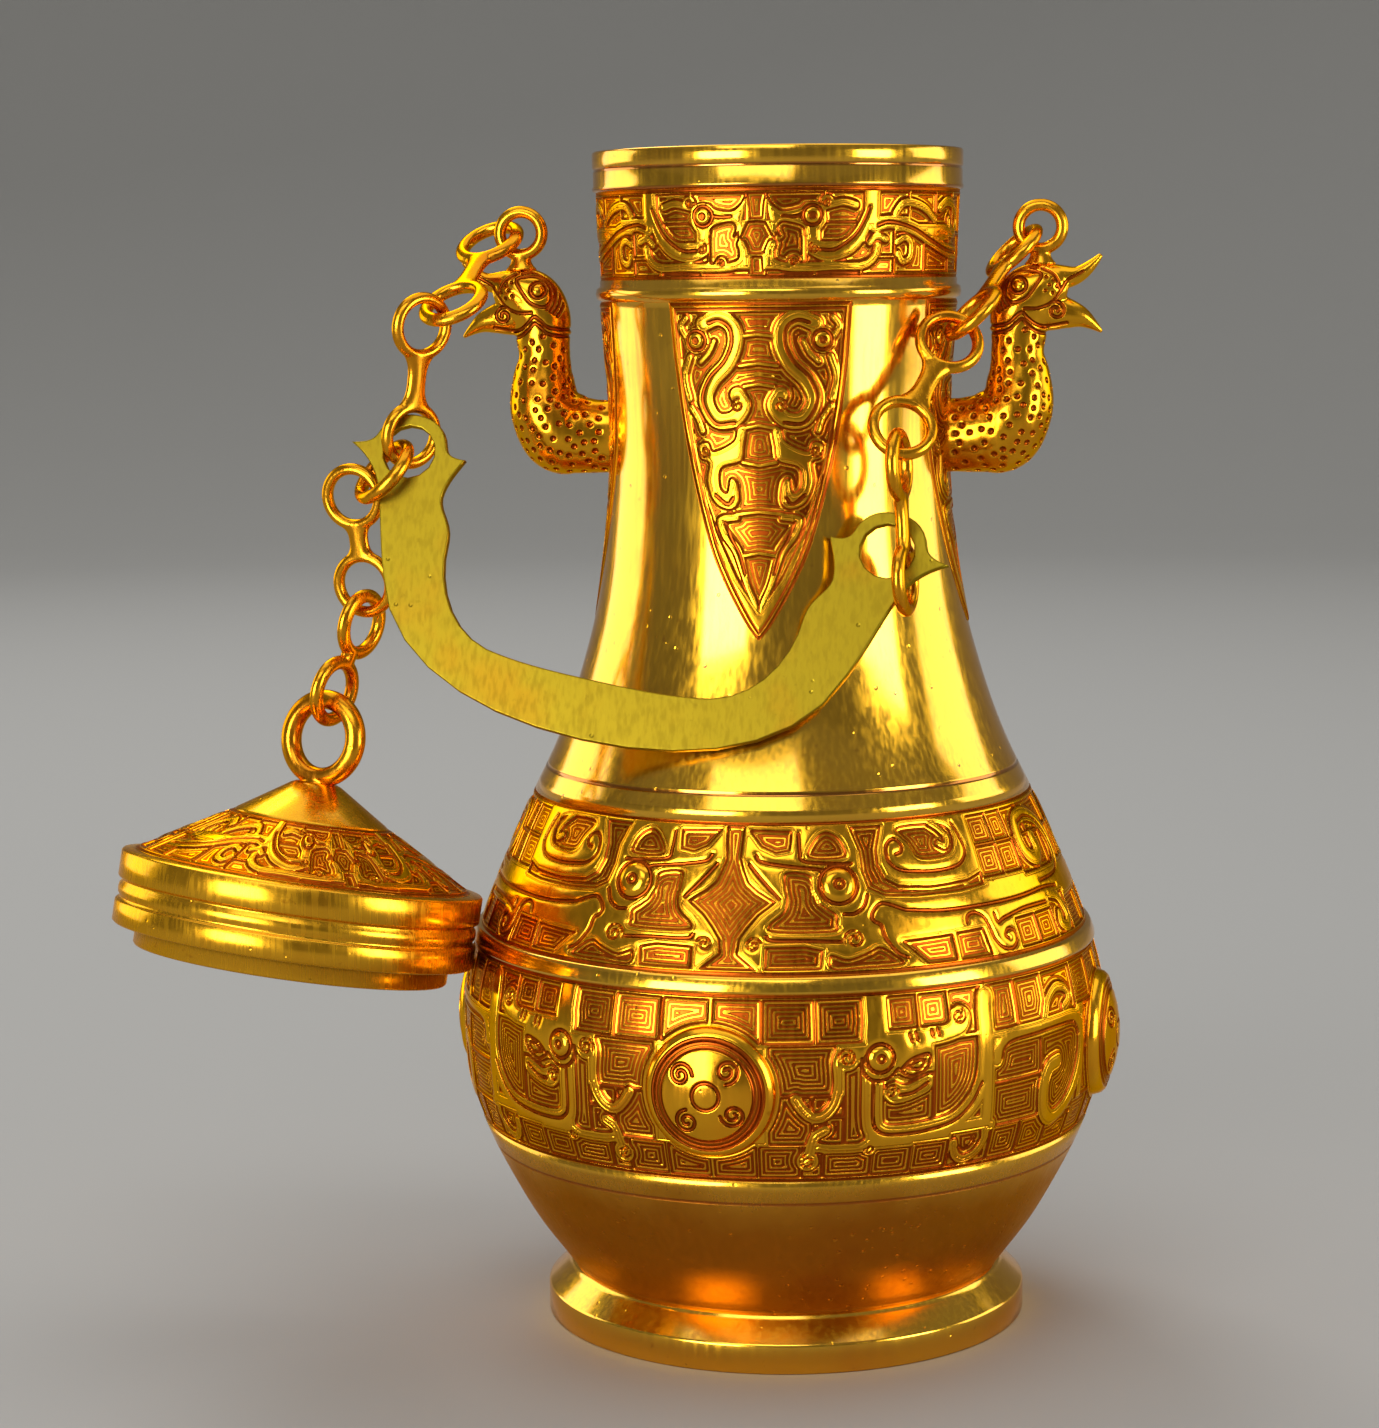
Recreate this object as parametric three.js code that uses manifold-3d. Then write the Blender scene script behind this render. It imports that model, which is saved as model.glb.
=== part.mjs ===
// Gilt bronze hu bottle: pear-shaped body, bird lugs, chains, crescent handle and a lid on its own chain.
// Millimetres, +Z up. The origin is on the bottle's axis, at the underside of the foot.
// The birds stand on -X (left) and +X (right); the handle hangs in front, towards -Y.
import * as THREE from 'three';
import { mergeVertices } from 'three/addons/utils/BufferGeometryUtils.js';
import Module from 'manifold-3d';

const wasm = await Module();
wasm.setup();

// Bottle body
const BOTTLE_HEIGHT = 300;
const MOUTH_RADIUS = 47;
const MOUTH_BORE_RADIUS = 42;
const COLLAR_HEIGHT = 8;
const UPPER_BAND_RADIUS = 45.6;
const UPPER_BAND_FOOT = 266;
const WAIST_RADIUS = 43.1;
const WAIST_HEIGHT = 222;
const FLARE_RADIUS = 50.8;
const FLARE_HEIGHT = 171;
const SHOULDER_RADIUS = 68;
const SHOULDER_HEIGHT = 130;
const BELLY_RADIUS = 83.4;
const BELLY_HEIGHT = 78;
const LOWER_BELLY_RADIUS = 75.6;
const LOWER_BELLY_HEIGHT = 44;
const BODY_BASE_RADIUS = 56;
const WALL = 4;
const FLOOR = 4;
const FILLET_BAND = 0.8;
const BELT_HEIGHT = 99.4;
const BELT_WIDTH = 4;
const NECK_RIDGE_WIDTH = 3;
const BODY_SIDES = 40;
const CURVE_STEPS = 17;

// Foot ring and the plate that closes it
const FOOT_RADIUS = 62.4;
const FOOT_WALL_HEIGHT = 7.4;
const FOOT_HEIGHT = 13.2;
const FOOT_BORE_RADIUS = 46;
const BASE_PLATE_THICKNESS = 3;
const BASE_PLATE_RADIUS = 50;

// Bird lugs: stations along the neck, out from the bottle wall and up from the foot of the lug
const BIRD_HEIGHT = 229.5;
const BIRD_SIDES = 12;
const BIRD_NECK = [
  { out: -3, up: 0, tall: 10.4, wide: 6.6 },
  { out: 4, up: -0.6, tall: 10, wide: 7.2 },
  { out: 11, up: -0.6, tall: 10, wide: 9 },
  { out: 17.2, up: 2, tall: 10.6, wide: 10 },
  { out: 19.2, up: 8.5, tall: 9, wide: 9.4 },
  { out: 18.2, up: 16.5, tall: 7, wide: 7.4 },
  { out: 17, up: 23.5, tall: 6.1, wide: 6.1 },
  { out: 18.4, up: 29.5, tall: 7, wide: 6.2 },
  { out: 21.6, up: 34.8, tall: 8.6, wide: 6.8 },
  { out: 26, up: 37, tall: 7.4, wide: 6 },
  { out: 30, up: 36.2, tall: 5, wide: 4.2 },
  { out: 32.4, up: 35.4, tall: 2.6, wide: 2.4 },
];
const UPPER_BEAK = [
  { out: 27, up: 38.2, tall: 3.4, wide: 3.4 },
  { out: 32.6, up: 39.4, tall: 2.2, wide: 2.4 },
  { out: 36.2, up: 41, tall: 1.4, wide: 1.5 },
  { out: 38.6, up: 43, tall: 0.7, wide: 0.8 },
];
const LOWER_BEAK = [
  { out: 26.5, up: 32, tall: 3.4, wide: 3.4 },
  { out: 33, up: 29.2, tall: 2.1, wide: 2.2 },
  { out: 39.2, up: 25.6, tall: 0.6, wide: 0.7 },
];
const CREST_RING_RADIUS = 5.3;
const CREST_RING_WIRE = 2.6;
const CREST_RING_OUT = 23.2;

// Chain: dumbbell links of flat bar, two rings joined by a short bar
const LINK_RING_RADIUS = 7;
const LINK_BAR = 2.6;
const LINK_DEPTH = 3;
const LINK_NECK = 3.8;
const LINK_PITCH = 27.5;
const LID_LINK_1_PITCH = 22.5;
const LID_LINK_2_PITCH = 18.5;
const JOINING_RING_RADIUS = 8.2;
const JOINING_RING_BAR = 2.8;
const JOINING_RING_DEPTH = 3.4;
const LINK_CHAMFER = 0.5;
const CHAIN_GAP = 0.35;

// Which way each link faces (its flat side) and hangs, with the handle leaning on the bottle
const LEFT_LINK_1 = { faces: [-0.24, -0.504, 0.829], hangs: [-0.187, -0.815, -0.549] };
const LEFT_LINK_2 = { faces: [0.708, -0.694, -0.131], hangs: [-0.132, 0.052, -0.99] };
const JOINING_RING = { faces: [-0.619, -0.439, 0.652] };
const RIGHT_LINK_1 = { faces: [-0.651, -0.237, 0.721], hangs: [-0.337, -0.761, -0.555] };
const RIGHT_LINK_2 = { faces: [0.26, -0.828, 0.497], hangs: [-0.378, -0.561, -0.737] };
const RIGHT_LINK_3 = { faces: [-0.985, 0.162, -0.052], hangs: [0.052, -0.004, -0.999] };
const LID_LINK_1 = { faces: [-0.22, -0.969, -0.107], hangs: [0.069, 0.094, -0.993] };
const LID_LINK_2 = { faces: [0.899, -0.394, -0.193], hangs: [-0.336, -0.337, -0.879] };

// Handle: a crescent plate with a horned eye at each end
const HANDLE_THICKNESS = 2.5;
const HANDLE_EYE_RADIUS = 6.7;
const HANDLE_HEAD_RADIUS = 9.7;
const HANDLE_HORN_REACH = 15.4;
const HANDLE_DROP = 61.5;
const HANDLE_WIDTH = 15;
const HANDLE_LEAN = THREE.MathUtils.degToRad(19.3);
const JOINING_RING_IN_EYE = { out: -5.24, down: 6.11 };
const LAST_LINK_IN_EYE = { out: 5.83, down: 5.65 };
const HANDLE_REST_GAP = 0.6;

// Lid
const LID_RADIUS = 47.4;
const LID_RIM_HEIGHT = 18.5;
const LID_RIM_GROOVE = 1.6;
const LID_CONE_FOOT_RADIUS = 44;
const LID_PLAIN_RADIUS = 20;
const LID_PLAIN_HEIGHT = 13.7;
const LID_TOP_RADIUS = 5.6;
const LID_TOP_HEIGHT = 23;
const LID_SPIGOT_RADIUS = 41.2;
const LID_SPIGOT_HEIGHT = 5;
const LID_WALL = 3.4;
const LID_SIDES = 40;
const LID_RING_RADIUS = 9.6;
const LID_RING_BAR = 3.4;
const LID_RING_DEPTH = 5;
const LID_RING_FACES = [-0.341, -0.904, 0.259];
const LID_AXIS_LEAN = [0.156, 0.135, 0.978];
const LID_REST_GAP = 0.6;

// Whorl bosses round the belly
const BOSS_NAMES = ['front', 'right', 'back', 'left'];
const BOSS_RADIUS = 16;
const BOSS_CROWN = 4.6;
const BOSS_HEIGHT = 76;
const BOSS_TURN = THREE.MathUtils.degToRad(-6);
const BOSS_SIDES = 22;

// Beasts cast with the wall: [turn from the beast's middle in degrees, height] along each raised bar
const MASK_MIDDLE = -3.5;
const MASK_EYE = { turn: 20.9, height: 123.6, radius: 4, rise: 1.2 };
const MASK_HORN = [[31, 133], [32.6, 125.8], [37, 124.6], [44.5, 124.5], [49, 126.6], [49.6, 133.6]];
const DRAGON_MIDDLE = -6;
const DRAGON_EYE = { turn: 28.4, height: 83.4, radius: 3.1, rise: 1 };
const DRAGON_TRUNK = [[26.7, 79], [26.8, 66.4], [29, 63.8], [37, 64.2], [43.6, 66.4], [47.6, 72], [48.4, 84], [49.4, 96.6]];
const BAR_WIDTH = 2.8;
const BAR_RISE = 0.7;
const BAR_ROOT = 1;

const SEAT_GAP = 0.3;
const RING_STEPS = 16;
const SECTION_STEPS = 8;

const GILT = 0xd9a021;
const REDDENED_GILT = 0xc9861b;
const DULL_BRASS = 0xb9921f;

const UP = new THREE.Vector3(0, 0, 1);
const vec = (list) => new THREE.Vector3(...list);
const unit = (list) => vec(list).normalize();
const along = (point, direction, distance) => point.clone().addScaledVector(direction, distance);

/** A closed geometry as a solid that can be joined and cut. */
function solid(geometry) {
  const bare = geometry.clone();
  bare.deleteAttribute('normal');
  bare.deleteAttribute('uv');
  const welded = mergeVertices(bare, 1e-4);
  const index = welded.getIndex().array;
  const kept = [];
  for (let i = 0; i < index.length; i += 3) {
    const [a, b, c] = [index[i], index[i + 1], index[i + 2]];
    if (a !== b && b !== c && c !== a) kept.push(a, b, c);
  }
  const vertProperties = new Float32Array(welded.getAttribute('position').array);
  return new wasm.Manifold(new wasm.Mesh({ numProp: 3, vertProperties, triVerts: new Uint32Array(kept) }));
}

/** The surface of a joined or cut solid, as geometry. */
function surface(body) {
  const mesh = body.getMesh();
  const geometry = new THREE.BufferGeometry();
  geometry.setAttribute('position', new THREE.BufferAttribute(new Float32Array(mesh.vertProperties), 3));
  geometry.setIndex(new THREE.BufferAttribute(new Uint32Array(mesh.triVerts), 1));
  return geometry;
}

/** A profile of [radius, height] points, counter-clockwise in that plane, turned about +Z. */
function turned(profile, sides) {
  const points = profile.map(([radius, height]) => new THREE.Vector2(radius, height));
  return new THREE.LatheGeometry(points, sides).rotateX(Math.PI / 2);
}

/** A ring about +Z whose section is a chamfered bar, `bar` thick radially and `depth` along the axis. */
function barRing(radius, bar, depth, chamfer = LINK_CHAMFER) {
  const [b, d] = [bar / 2, depth / 2];
  const profile = [
    [radius + b, -d + chamfer], [radius + b, d - chamfer], [radius + b - chamfer, d],
    [radius - b + chamfer, d], [radius - b, d - chamfer], [radius - b, -d + chamfer],
    [radius - b + chamfer, -d], [radius + b - chamfer, -d], [radius + b, -d + chamfer],
  ];
  return turned(profile, RING_STEPS);
}

/** A round-wire ring about +Z. */
function wireRing(radius, wire) {
  const profile = [];
  for (let i = 0; i <= SECTION_STEPS; i += 1) {
    const turn = ((i % SECTION_STEPS) / SECTION_STEPS) * 2 * Math.PI;
    profile.push([radius + (wire / 2) * Math.cos(turn), (wire / 2) * Math.sin(turn)]);
  }
  return turned(profile, RING_STEPS);
}

/** The outer radius of the bottle's plain body against height, as a smooth curve. */
const bodyCurve = new THREE.SplineCurve([
  new THREE.Vector2(BODY_BASE_RADIUS, FOOT_HEIGHT),
  new THREE.Vector2(LOWER_BELLY_RADIUS, LOWER_BELLY_HEIGHT),
  new THREE.Vector2(BELLY_RADIUS, BELLY_HEIGHT),
  new THREE.Vector2(SHOULDER_RADIUS, SHOULDER_HEIGHT),
  new THREE.Vector2(FLARE_RADIUS, FLARE_HEIGHT),
  new THREE.Vector2(WAIST_RADIUS, WAIST_HEIGHT),
  new THREE.Vector2(UPPER_BAND_RADIUS, UPPER_BAND_FOOT),
]).getPoints(CURVE_STEPS);

function bodyRadius(height) {
  if (height >= UPPER_BAND_FOOT) return MOUTH_RADIUS;
  for (let i = 1; i < bodyCurve.length; i += 1) {
    const [low, high] = [bodyCurve[i - 1], bodyCurve[i]];
    if (height <= high.y) {
      return THREE.MathUtils.mapLinear(Math.max(height, low.y), low.y, high.y, low.x, high.x);
    }
  }
  return MOUTH_RADIUS;
}

/** A plain band standing proud of the body, as [radius, height] points from its lower to its upper edge. */
function bandPoints(foot, width) {
  const head = foot + width;
  return [
    [bodyRadius(foot), foot], [bodyRadius(foot) + FILLET_BAND, foot],
    [bodyRadius(head) + FILLET_BAND, head], [bodyRadius(head), head],
  ];
}

/** The outline of the outside, from the edge of the floor up to the mouth. */
function outsidePoints() {
  const belt = bandPoints(BELT_HEIGHT, BELT_WIDTH);
  const ridge = bandPoints(UPPER_BAND_FOOT - NECK_RIDGE_WIDTH, NECK_RIDGE_WIDTH);
  const inBand = (height) => [BELT_HEIGHT, UPPER_BAND_FOOT - NECK_RIDGE_WIDTH].some(
    (foot, i) => height > foot - 1 && height < foot + [BELT_WIDTH, NECK_RIDGE_WIDTH][i] + 1);
  const plain = bodyCurve.filter((point) => !inBand(point.y)).map((point) => [point.x, point.y]);
  const collar = [
    [UPPER_BAND_RADIUS, UPPER_BAND_FOOT + 0.01], [MOUTH_RADIUS - FILLET_BAND, BOTTLE_HEIGHT - COLLAR_HEIGHT],
    [MOUTH_RADIUS, BOTTLE_HEIGHT - COLLAR_HEIGHT], [MOUTH_RADIUS, BOTTLE_HEIGHT],
  ];
  return [...plain, ...belt, ...ridge].sort((a, b) => a[1] - b[1]).concat(collar);
}

/** Axes on the outside of the wall: along it, up it and square out of it. */
function wallFrame(degrees, height) {
  const turn = THREE.MathUtils.degToRad(degrees);
  const outward = new THREE.Vector3(Math.sin(turn), -Math.cos(turn), 0);
  const side = new THREE.Vector3(Math.cos(turn), Math.sin(turn), 0);
  const slope = (bodyRadius(height + 1) - bodyRadius(height - 1)) / 2;
  const normal = along(outward, UP, -slope).normalize();
  const place = along(new THREE.Vector3(0, 0, height), outward, bodyRadius(height));
  return { place, side, normal, rise: normal.clone().cross(side) };
}

/** A beast's eye: a low dome rooted in the wall. */
function wallEye(degrees, { height, radius, rise }) {
  const { place, side, normal, rise: up } = wallFrame(degrees, height);
  const dome = turned([
    [0, -BAR_ROOT], [radius, -BAR_ROOT], [radius, 0.2], [radius * 0.66, rise * 0.75], [0, rise],
  ], 9);
  return solid(placed(dome, side, up, normal, place));
}

/** A low bar rooted in the wall that follows a path over it. */
function wallBar(path) {
  const frames = path.map(([degrees, height]) => wallFrame(degrees, height));
  const rings = frames.map(({ place, normal }, i) => {
    const before = frames[Math.max(i - 1, 0)].place;
    const after = frames[Math.min(i + 1, frames.length - 1)].place;
    const across = normal.clone().cross(after.clone().sub(before)).normalize();
    return [[-0.5, -BAR_ROOT], [0.5, -BAR_ROOT], [0.34, BAR_RISE], [-0.34, BAR_RISE]].map(
      ([wide, tall]) => along(along(place, across, wide * BAR_WIDTH), normal, tall));
  });
  return solid(loft(rings));
}

/** The main raised forms of the two masks and the four dragons, mirrored about each beast's middle. */
function wallForms() {
  const forms = [];
  for (const half of [0, 180]) {
    for (const hand of [-1, 1]) {
      const turned = (middle, path) => path.map(([turn, height]) => [middle + half + hand * turn, height]);
      forms.push(wallEye(MASK_MIDDLE + half + hand * MASK_EYE.turn, MASK_EYE));
      forms.push(wallEye(DRAGON_MIDDLE + half + hand * DRAGON_EYE.turn, DRAGON_EYE));
      forms.push(wallBar(turned(MASK_MIDDLE, MASK_HORN)));
      forms.push(wallBar(turned(DRAGON_MIDDLE, DRAGON_TRUNK)));
    }
  }
  return forms;
}

function vesselBody() {
  const outside = outsidePoints();
  const inside = bodyCurve.filter((point, i) => i % 2 === 0 && point.y > FOOT_HEIGHT + FLOOR + WALL)
    .map((point) => [point.x - WALL, point.y]).reverse();
  const floor = FOOT_HEIGHT + FLOOR;
  const plain = turned([
    [0, FOOT_HEIGHT], ...outside, [MOUTH_BORE_RADIUS, BOTTLE_HEIGHT],
    [MOUTH_BORE_RADIUS, BOTTLE_HEIGHT - LID_SPIGOT_HEIGHT - COLLAR_HEIGHT], ...inside,
    [BODY_BASE_RADIUS - WALL, floor], [0, floor],
  ], BODY_SIDES);
  return surface(wallForms().reduce((body, form) => body.add(form), solid(plain)));
}

/** The foot: an upright wall, a sloped top running in to the body, and a rebate for the base plate. */
function footRing() {
  const rebate = BASE_PLATE_RADIUS + SEAT_GAP;
  return turned([
    [rebate, 0], [FOOT_RADIUS, 0], [FOOT_RADIUS, FOOT_WALL_HEIGHT], [BODY_BASE_RADIUS, FOOT_HEIGHT],
    [FOOT_BORE_RADIUS, FOOT_HEIGHT], [FOOT_BORE_RADIUS, BASE_PLATE_THICKNESS],
    [rebate, BASE_PLATE_THICKNESS], [rebate, 0],
  ], BODY_SIDES);
}

function basePlate() {
  return turned([
    [0, 0], [BASE_PLATE_RADIUS, 0], [BASE_PLATE_RADIUS, BASE_PLATE_THICKNESS], [0, BASE_PLATE_THICKNESS],
  ], BODY_SIDES);
}

/** The body's outside grown by the seating gap: what a brazed-on piece is cut back to. */
const seat = solid(turned([
  [0, FOOT_HEIGHT],
  ...bodyCurve.map((point) => [point.x + SEAT_GAP, point.y]),
  [0, UPPER_BAND_FOOT],
], BODY_SIDES * 2));

/** Closed skin through rings of points, each ring a list of `sides` vectors, capped at both ends. */
function loft(rings) {
  const sides = rings[0].length;
  const points = rings.flat();
  const faces = [];
  for (let r = 0; r + 1 < rings.length; r += 1) {
    for (let s = 0; s < sides; s += 1) {
      const [a, b] = [r * sides + s, r * sides + ((s + 1) % sides)];
      faces.push(a, b, b + sides, a, b + sides, a + sides);
    }
  }
  const last = (rings.length - 1) * sides;
  for (let s = 1; s + 1 < sides; s += 1) faces.push(0, s + 1, s, last, last + s, last + s + 1);
  const geometry = new THREE.BufferGeometry().setFromPoints(points);
  geometry.setIndex(faces);
  return geometry;
}

/** Oval rings set square to a path through stations in the XZ plane, `side` out from the bottle's wall. */
function stationLoft(stations, side) {
  const wall = bodyRadius(BIRD_HEIGHT);
  const path = stations.map(({ out, up }) => new THREE.Vector2(side * (wall + out), BIRD_HEIGHT + up));
  const rings = stations.map(({ tall, wide }, i) => {
    const before = path[Math.max(i - 1, 0)];
    const after = path[Math.min(i + 1, path.length - 1)];
    const run = after.clone().sub(before).normalize();
    const ring = [];
    for (let s = 0; s < BIRD_SIDES; s += 1) {
      const turn = (-s * 2 * Math.PI) / BIRD_SIDES;
      const across = tall * Math.cos(turn);
      ring.push(new THREE.Vector3(
        path[i].x - run.y * across, wide * Math.sin(turn), path[i].y + run.x * across));
    }
    return ring;
  });
  return loft(rings);
}

/** A bird's neck and open-beaked head, cut back to the bottle's wall. */
function birdLug(side) {
  return surface(solid(stationLoft(BIRD_NECK, side))
    .add(solid(stationLoft(UPPER_BEAK, side)))
    .add(solid(stationLoft(LOWER_BEAK, side)))
    .subtract(seat));
}

/** Where the crest ring on a bird's head has its centre: standing on the top of the head. */
function crestCentre(side) {
  const [low, high] = [BIRD_NECK[8], BIRD_NECK[9]];
  const share = (CREST_RING_OUT - low.out) / (high.out - low.out);
  const headTop = THREE.MathUtils.lerp(low.up + low.tall, high.up + high.tall, share) + BIRD_HEIGHT;
  const rise = headTop + SEAT_GAP + CREST_RING_RADIUS + CREST_RING_WIRE / 2;
  return new THREE.Vector3(side * (bodyRadius(BIRD_HEIGHT) + CREST_RING_OUT), 0, rise);
}

/** A dumbbell link in the XY plane: ring centres at the origin and at -Y by the pitch. */
function dumbbellLink(pitch) {
  const outer = LINK_RING_RADIUS + LINK_BAR / 2 - LINK_CHAMFER;
  const half = LINK_NECK / 2 - LINK_CHAMFER;
  const spread = Math.asin(half / outer);
  const shape = new THREE.Shape();
  shape.absarc(0, 0, outer, -Math.PI / 2 + spread, 1.5 * Math.PI - spread, false);
  shape.absarc(0, -pitch, outer, Math.PI / 2 + spread, 2.5 * Math.PI - spread, false);
  shape.closePath();
  for (const y of [0, -pitch]) {
    const hole = new THREE.Path();
    hole.absarc(0, y, LINK_RING_RADIUS - LINK_BAR / 2 + LINK_CHAMFER, 0, 2 * Math.PI, true);
    shape.holes.push(hole);
  }
  const geometry = new THREE.ExtrudeGeometry(shape, {
    depth: LINK_DEPTH - 2 * LINK_CHAMFER, curveSegments: RING_STEPS / 2, bevelEnabled: true,
    bevelThickness: LINK_CHAMFER, bevelSize: LINK_CHAMFER, bevelSegments: 1,
  });
  return geometry.translate(0, 0, -LINK_DEPTH / 2 + LINK_CHAMFER);
}

/** Turns local axes onto the given ones and moves the origin to a place. */
function placed(geometry, xAxis, yAxis, zAxis, place) {
  return geometry.applyMatrix4(new THREE.Matrix4().makeBasis(xAxis, yAxis, zAxis).setPosition(place));
}

/** Centre spacing of two linked rings pulled tight, with the chain gap between the corners of their bars. */
function tightSpacing(first, second, facing) {
  const cos = Math.abs(facing);
  const sin = Math.sqrt(Math.max(1 - cos * cos, 0.05));
  const [one, two] = [first.depth - LINK_CHAMFER, second.depth - LINK_CHAMFER];
  const curl = (reach, ring) => reach ** 2 / (2 * (ring.radius - ring.bar / 2));
  const bite = curl((two + one * cos) / (2 * sin), first) + curl((one + two * cos) / (2 * sin), second);
  return first.radius + second.radius - (first.bar + second.bar) / 2 - CHAIN_GAP - bite;
}

/** The way from one ring to the next ring hung in it: along the line where their planes meet, downwards. */
function hangLine(firstFaces, secondFaces) {
  const line = firstFaces.clone().cross(secondFaces).normalize();
  return line.z > 0 ? line.negate() : line;
}

const linkRing = { radius: LINK_RING_RADIUS, bar: LINK_BAR, depth: LINK_DEPTH };
const crestRing = { radius: CREST_RING_RADIUS, bar: CREST_RING_WIRE, depth: CREST_RING_WIRE };
const joiningRing = { radius: JOINING_RING_RADIUS, bar: JOINING_RING_BAR, depth: JOINING_RING_DEPTH };
const lidRing = { radius: LID_RING_RADIUS, bar: LID_RING_BAR, depth: LID_RING_DEPTH };

/** One link hung in a ring: its upper and lower ring centres, its facing and its run. */
function hangLink(from, { faces, hangs }, pitch, turn) {
  const normal = unit(faces).applyQuaternion(turn);
  const run = vec(hangs).applyQuaternion(turn);
  run.addScaledVector(normal, -run.dot(normal)).normalize();
  const spacing = tightSpacing(from.ring, linkRing, from.faces.dot(normal));
  const top = along(from.centre, hangLine(from.faces, normal), spacing);
  return { ring: linkRing, faces: normal, run, top, centre: along(top, run, pitch), pitch };
}

/** A plain ring hung in the ring above it. */
function hangRing(from, ring, faces, turn) {
  const normal = unit(faces).applyQuaternion(turn);
  const spacing = tightSpacing(from.ring, ring, from.faces.dot(normal));
  const centre = along(from.centre, hangLine(from.faces, normal), spacing);
  return { ring, faces: normal, centre };
}

/** The handle's frame: the eyes fall where the joining ring and the last link pass through them. */
function handleFrame(joining, lastLink, lean) {
  const reach = lastLink.clone().sub(joining);
  const step = JOINING_RING_IN_EYE.down - LAST_LINK_IN_EYE.down;
  const run = Math.sqrt(reach.lengthSq() - step * step);
  const span = run - LAST_LINK_IN_EYE.out + JOINING_RING_IN_EYE.out;
  const pitch = Math.atan2(step, run);
  const chord = reach.clone().normalize();
  const rise = UP.clone().addScaledVector(chord, -UP.dot(chord)).normalize();
  rise.applyAxisAngle(chord, -lean);
  const front = chord.clone().cross(rise);
  const xAxis = chord.clone().applyAxisAngle(front, -pitch);
  const yAxis = rise.clone().applyAxisAngle(front, -pitch);
  const leftEye = along(along(joining, xAxis, -JOINING_RING_IN_EYE.out), yAxis, JOINING_RING_IN_EYE.down);
  return { span, xAxis, yAxis, front, leftEye, rightEye: along(leftEye, xAxis, span) };
}

/** The whole bail with the chains swung by an angle about the line through the two crest rings. */
function hangBail(swing) {
  const turn = new THREE.Quaternion().setFromAxisAngle(new THREE.Vector3(-1, 0, 0), swing);
  const still = new THREE.Vector3(0, 1, 0);
  const leftCrest = { ring: crestRing, faces: still, centre: crestCentre(-1) };
  const rightCrest = { ring: crestRing, faces: still, centre: crestCentre(1) };
  const left1 = hangLink(leftCrest, LEFT_LINK_1, LINK_PITCH, turn);
  const left2 = hangLink(left1, LEFT_LINK_2, LINK_PITCH, turn);
  const joining = hangRing(left2, joiningRing, JOINING_RING.faces, turn);
  const right1 = hangLink(rightCrest, RIGHT_LINK_1, LINK_PITCH, turn);
  const right2 = hangLink(right1, RIGHT_LINK_2, LINK_PITCH, turn);
  const right3 = hangLink(right2, RIGHT_LINK_3, LINK_PITCH, turn);
  const handle = handleFrame(joining.centre, right3.centre, HANDLE_LEAN + swing);
  return { leftCrest, rightCrest, left1, left2, joining, right1, right2, right3, handle };
}

/** The lid's chain and lid, hung from the joining ring and swung outwards about a level line. */
function hangLid(joining, swing) {
  const outward = new THREE.Vector3(joining.centre.x, joining.centre.y, 0).normalize();
  const turn = new THREE.Quaternion().setFromAxisAngle(outward.clone().cross(UP), swing);
  const link1 = hangLink(joining, LID_LINK_1, LID_LINK_1_PITCH, turn);
  const link2 = hangLink(link1, LID_LINK_2, LID_LINK_2_PITCH, turn);
  const axis = unit(LID_AXIS_LEAN).applyQuaternion(turn);
  const faces = vec(LID_RING_FACES).applyQuaternion(turn);
  faces.addScaledVector(axis, -faces.dot(axis)).normalize();
  const ring = hangRing(link2, lidRing, faces.toArray(), new THREE.Quaternion());
  const ringFoot = LID_RING_RADIUS + LID_RING_BAR / 2 - SEAT_GAP;
  const rim = along(ring.centre, axis, -(LID_TOP_HEIGHT + ringFoot));
  return { link1, link2, ring, axis, rim };
}

/** Smallest distance outside the bottle's body of a list of points. */
function clearOfBody(points) {
  return Math.min(...points.map((point) => Math.hypot(point.x, point.y) - bodyRadius(point.z)));
}

/** The smallest swing at which `gapAt` reaches a gap, by halving. */
function restingSwing(gapAt, gap, low, high) {
  let [inner, outer] = [low, high];
  for (let i = 0; i < 30; i += 1) {
    const middle = (inner + outer) / 2;
    if (gapAt(middle) < gap) inner = middle;
    else outer = middle;
  }
  return outer;
}

/** Points on the back of the handle's lower edge, and on the inner side of the right-hand chain. */
function bailBackPoints({ handle, right2, right3 }) {
  const middle = along(handle.leftEye, handle.xAxis, handle.span / 2);
  const points = [];
  for (let share = -0.3; share <= 0.3; share += 0.05) {
    for (const drop of [HANDLE_DROP, HANDLE_DROP - HANDLE_WIDTH]) {
      const edge = along(along(middle, handle.xAxis, share * handle.span), handle.yAxis, -drop);
      points.push(along(edge, handle.front, -HANDLE_THICKNESS / 2));
    }
  }
  for (const link of [right2, right3]) {
    for (const centre of [link.top, link.centre]) {
      const inward = new THREE.Vector3(-centre.x, -centre.y, 0).normalize();
      inward.addScaledVector(link.faces, -inward.dot(link.faces));
      points.push(along(centre, inward, LINK_RING_RADIUS + LINK_BAR / 2));
    }
  }
  return points;
}

/** Points round the lid's rim and round its lower edge. */
function lidEdgePoints({ axis, rim }) {
  const side = new THREE.Vector3(1, 0, 0).addScaledVector(axis, -axis.x).normalize();
  const other = axis.clone().cross(side);
  const points = [];
  for (let i = 0; i < 48; i += 1) {
    const turn = (i / 48) * 2 * Math.PI;
    for (const drop of [0, LID_RIM_HEIGHT]) {
      const edge = along(along(rim, side, LID_RADIUS * Math.cos(turn)), other, LID_RADIUS * Math.sin(turn));
      points.push(along(edge, axis, -drop));
    }
  }
  return points;
}

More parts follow.
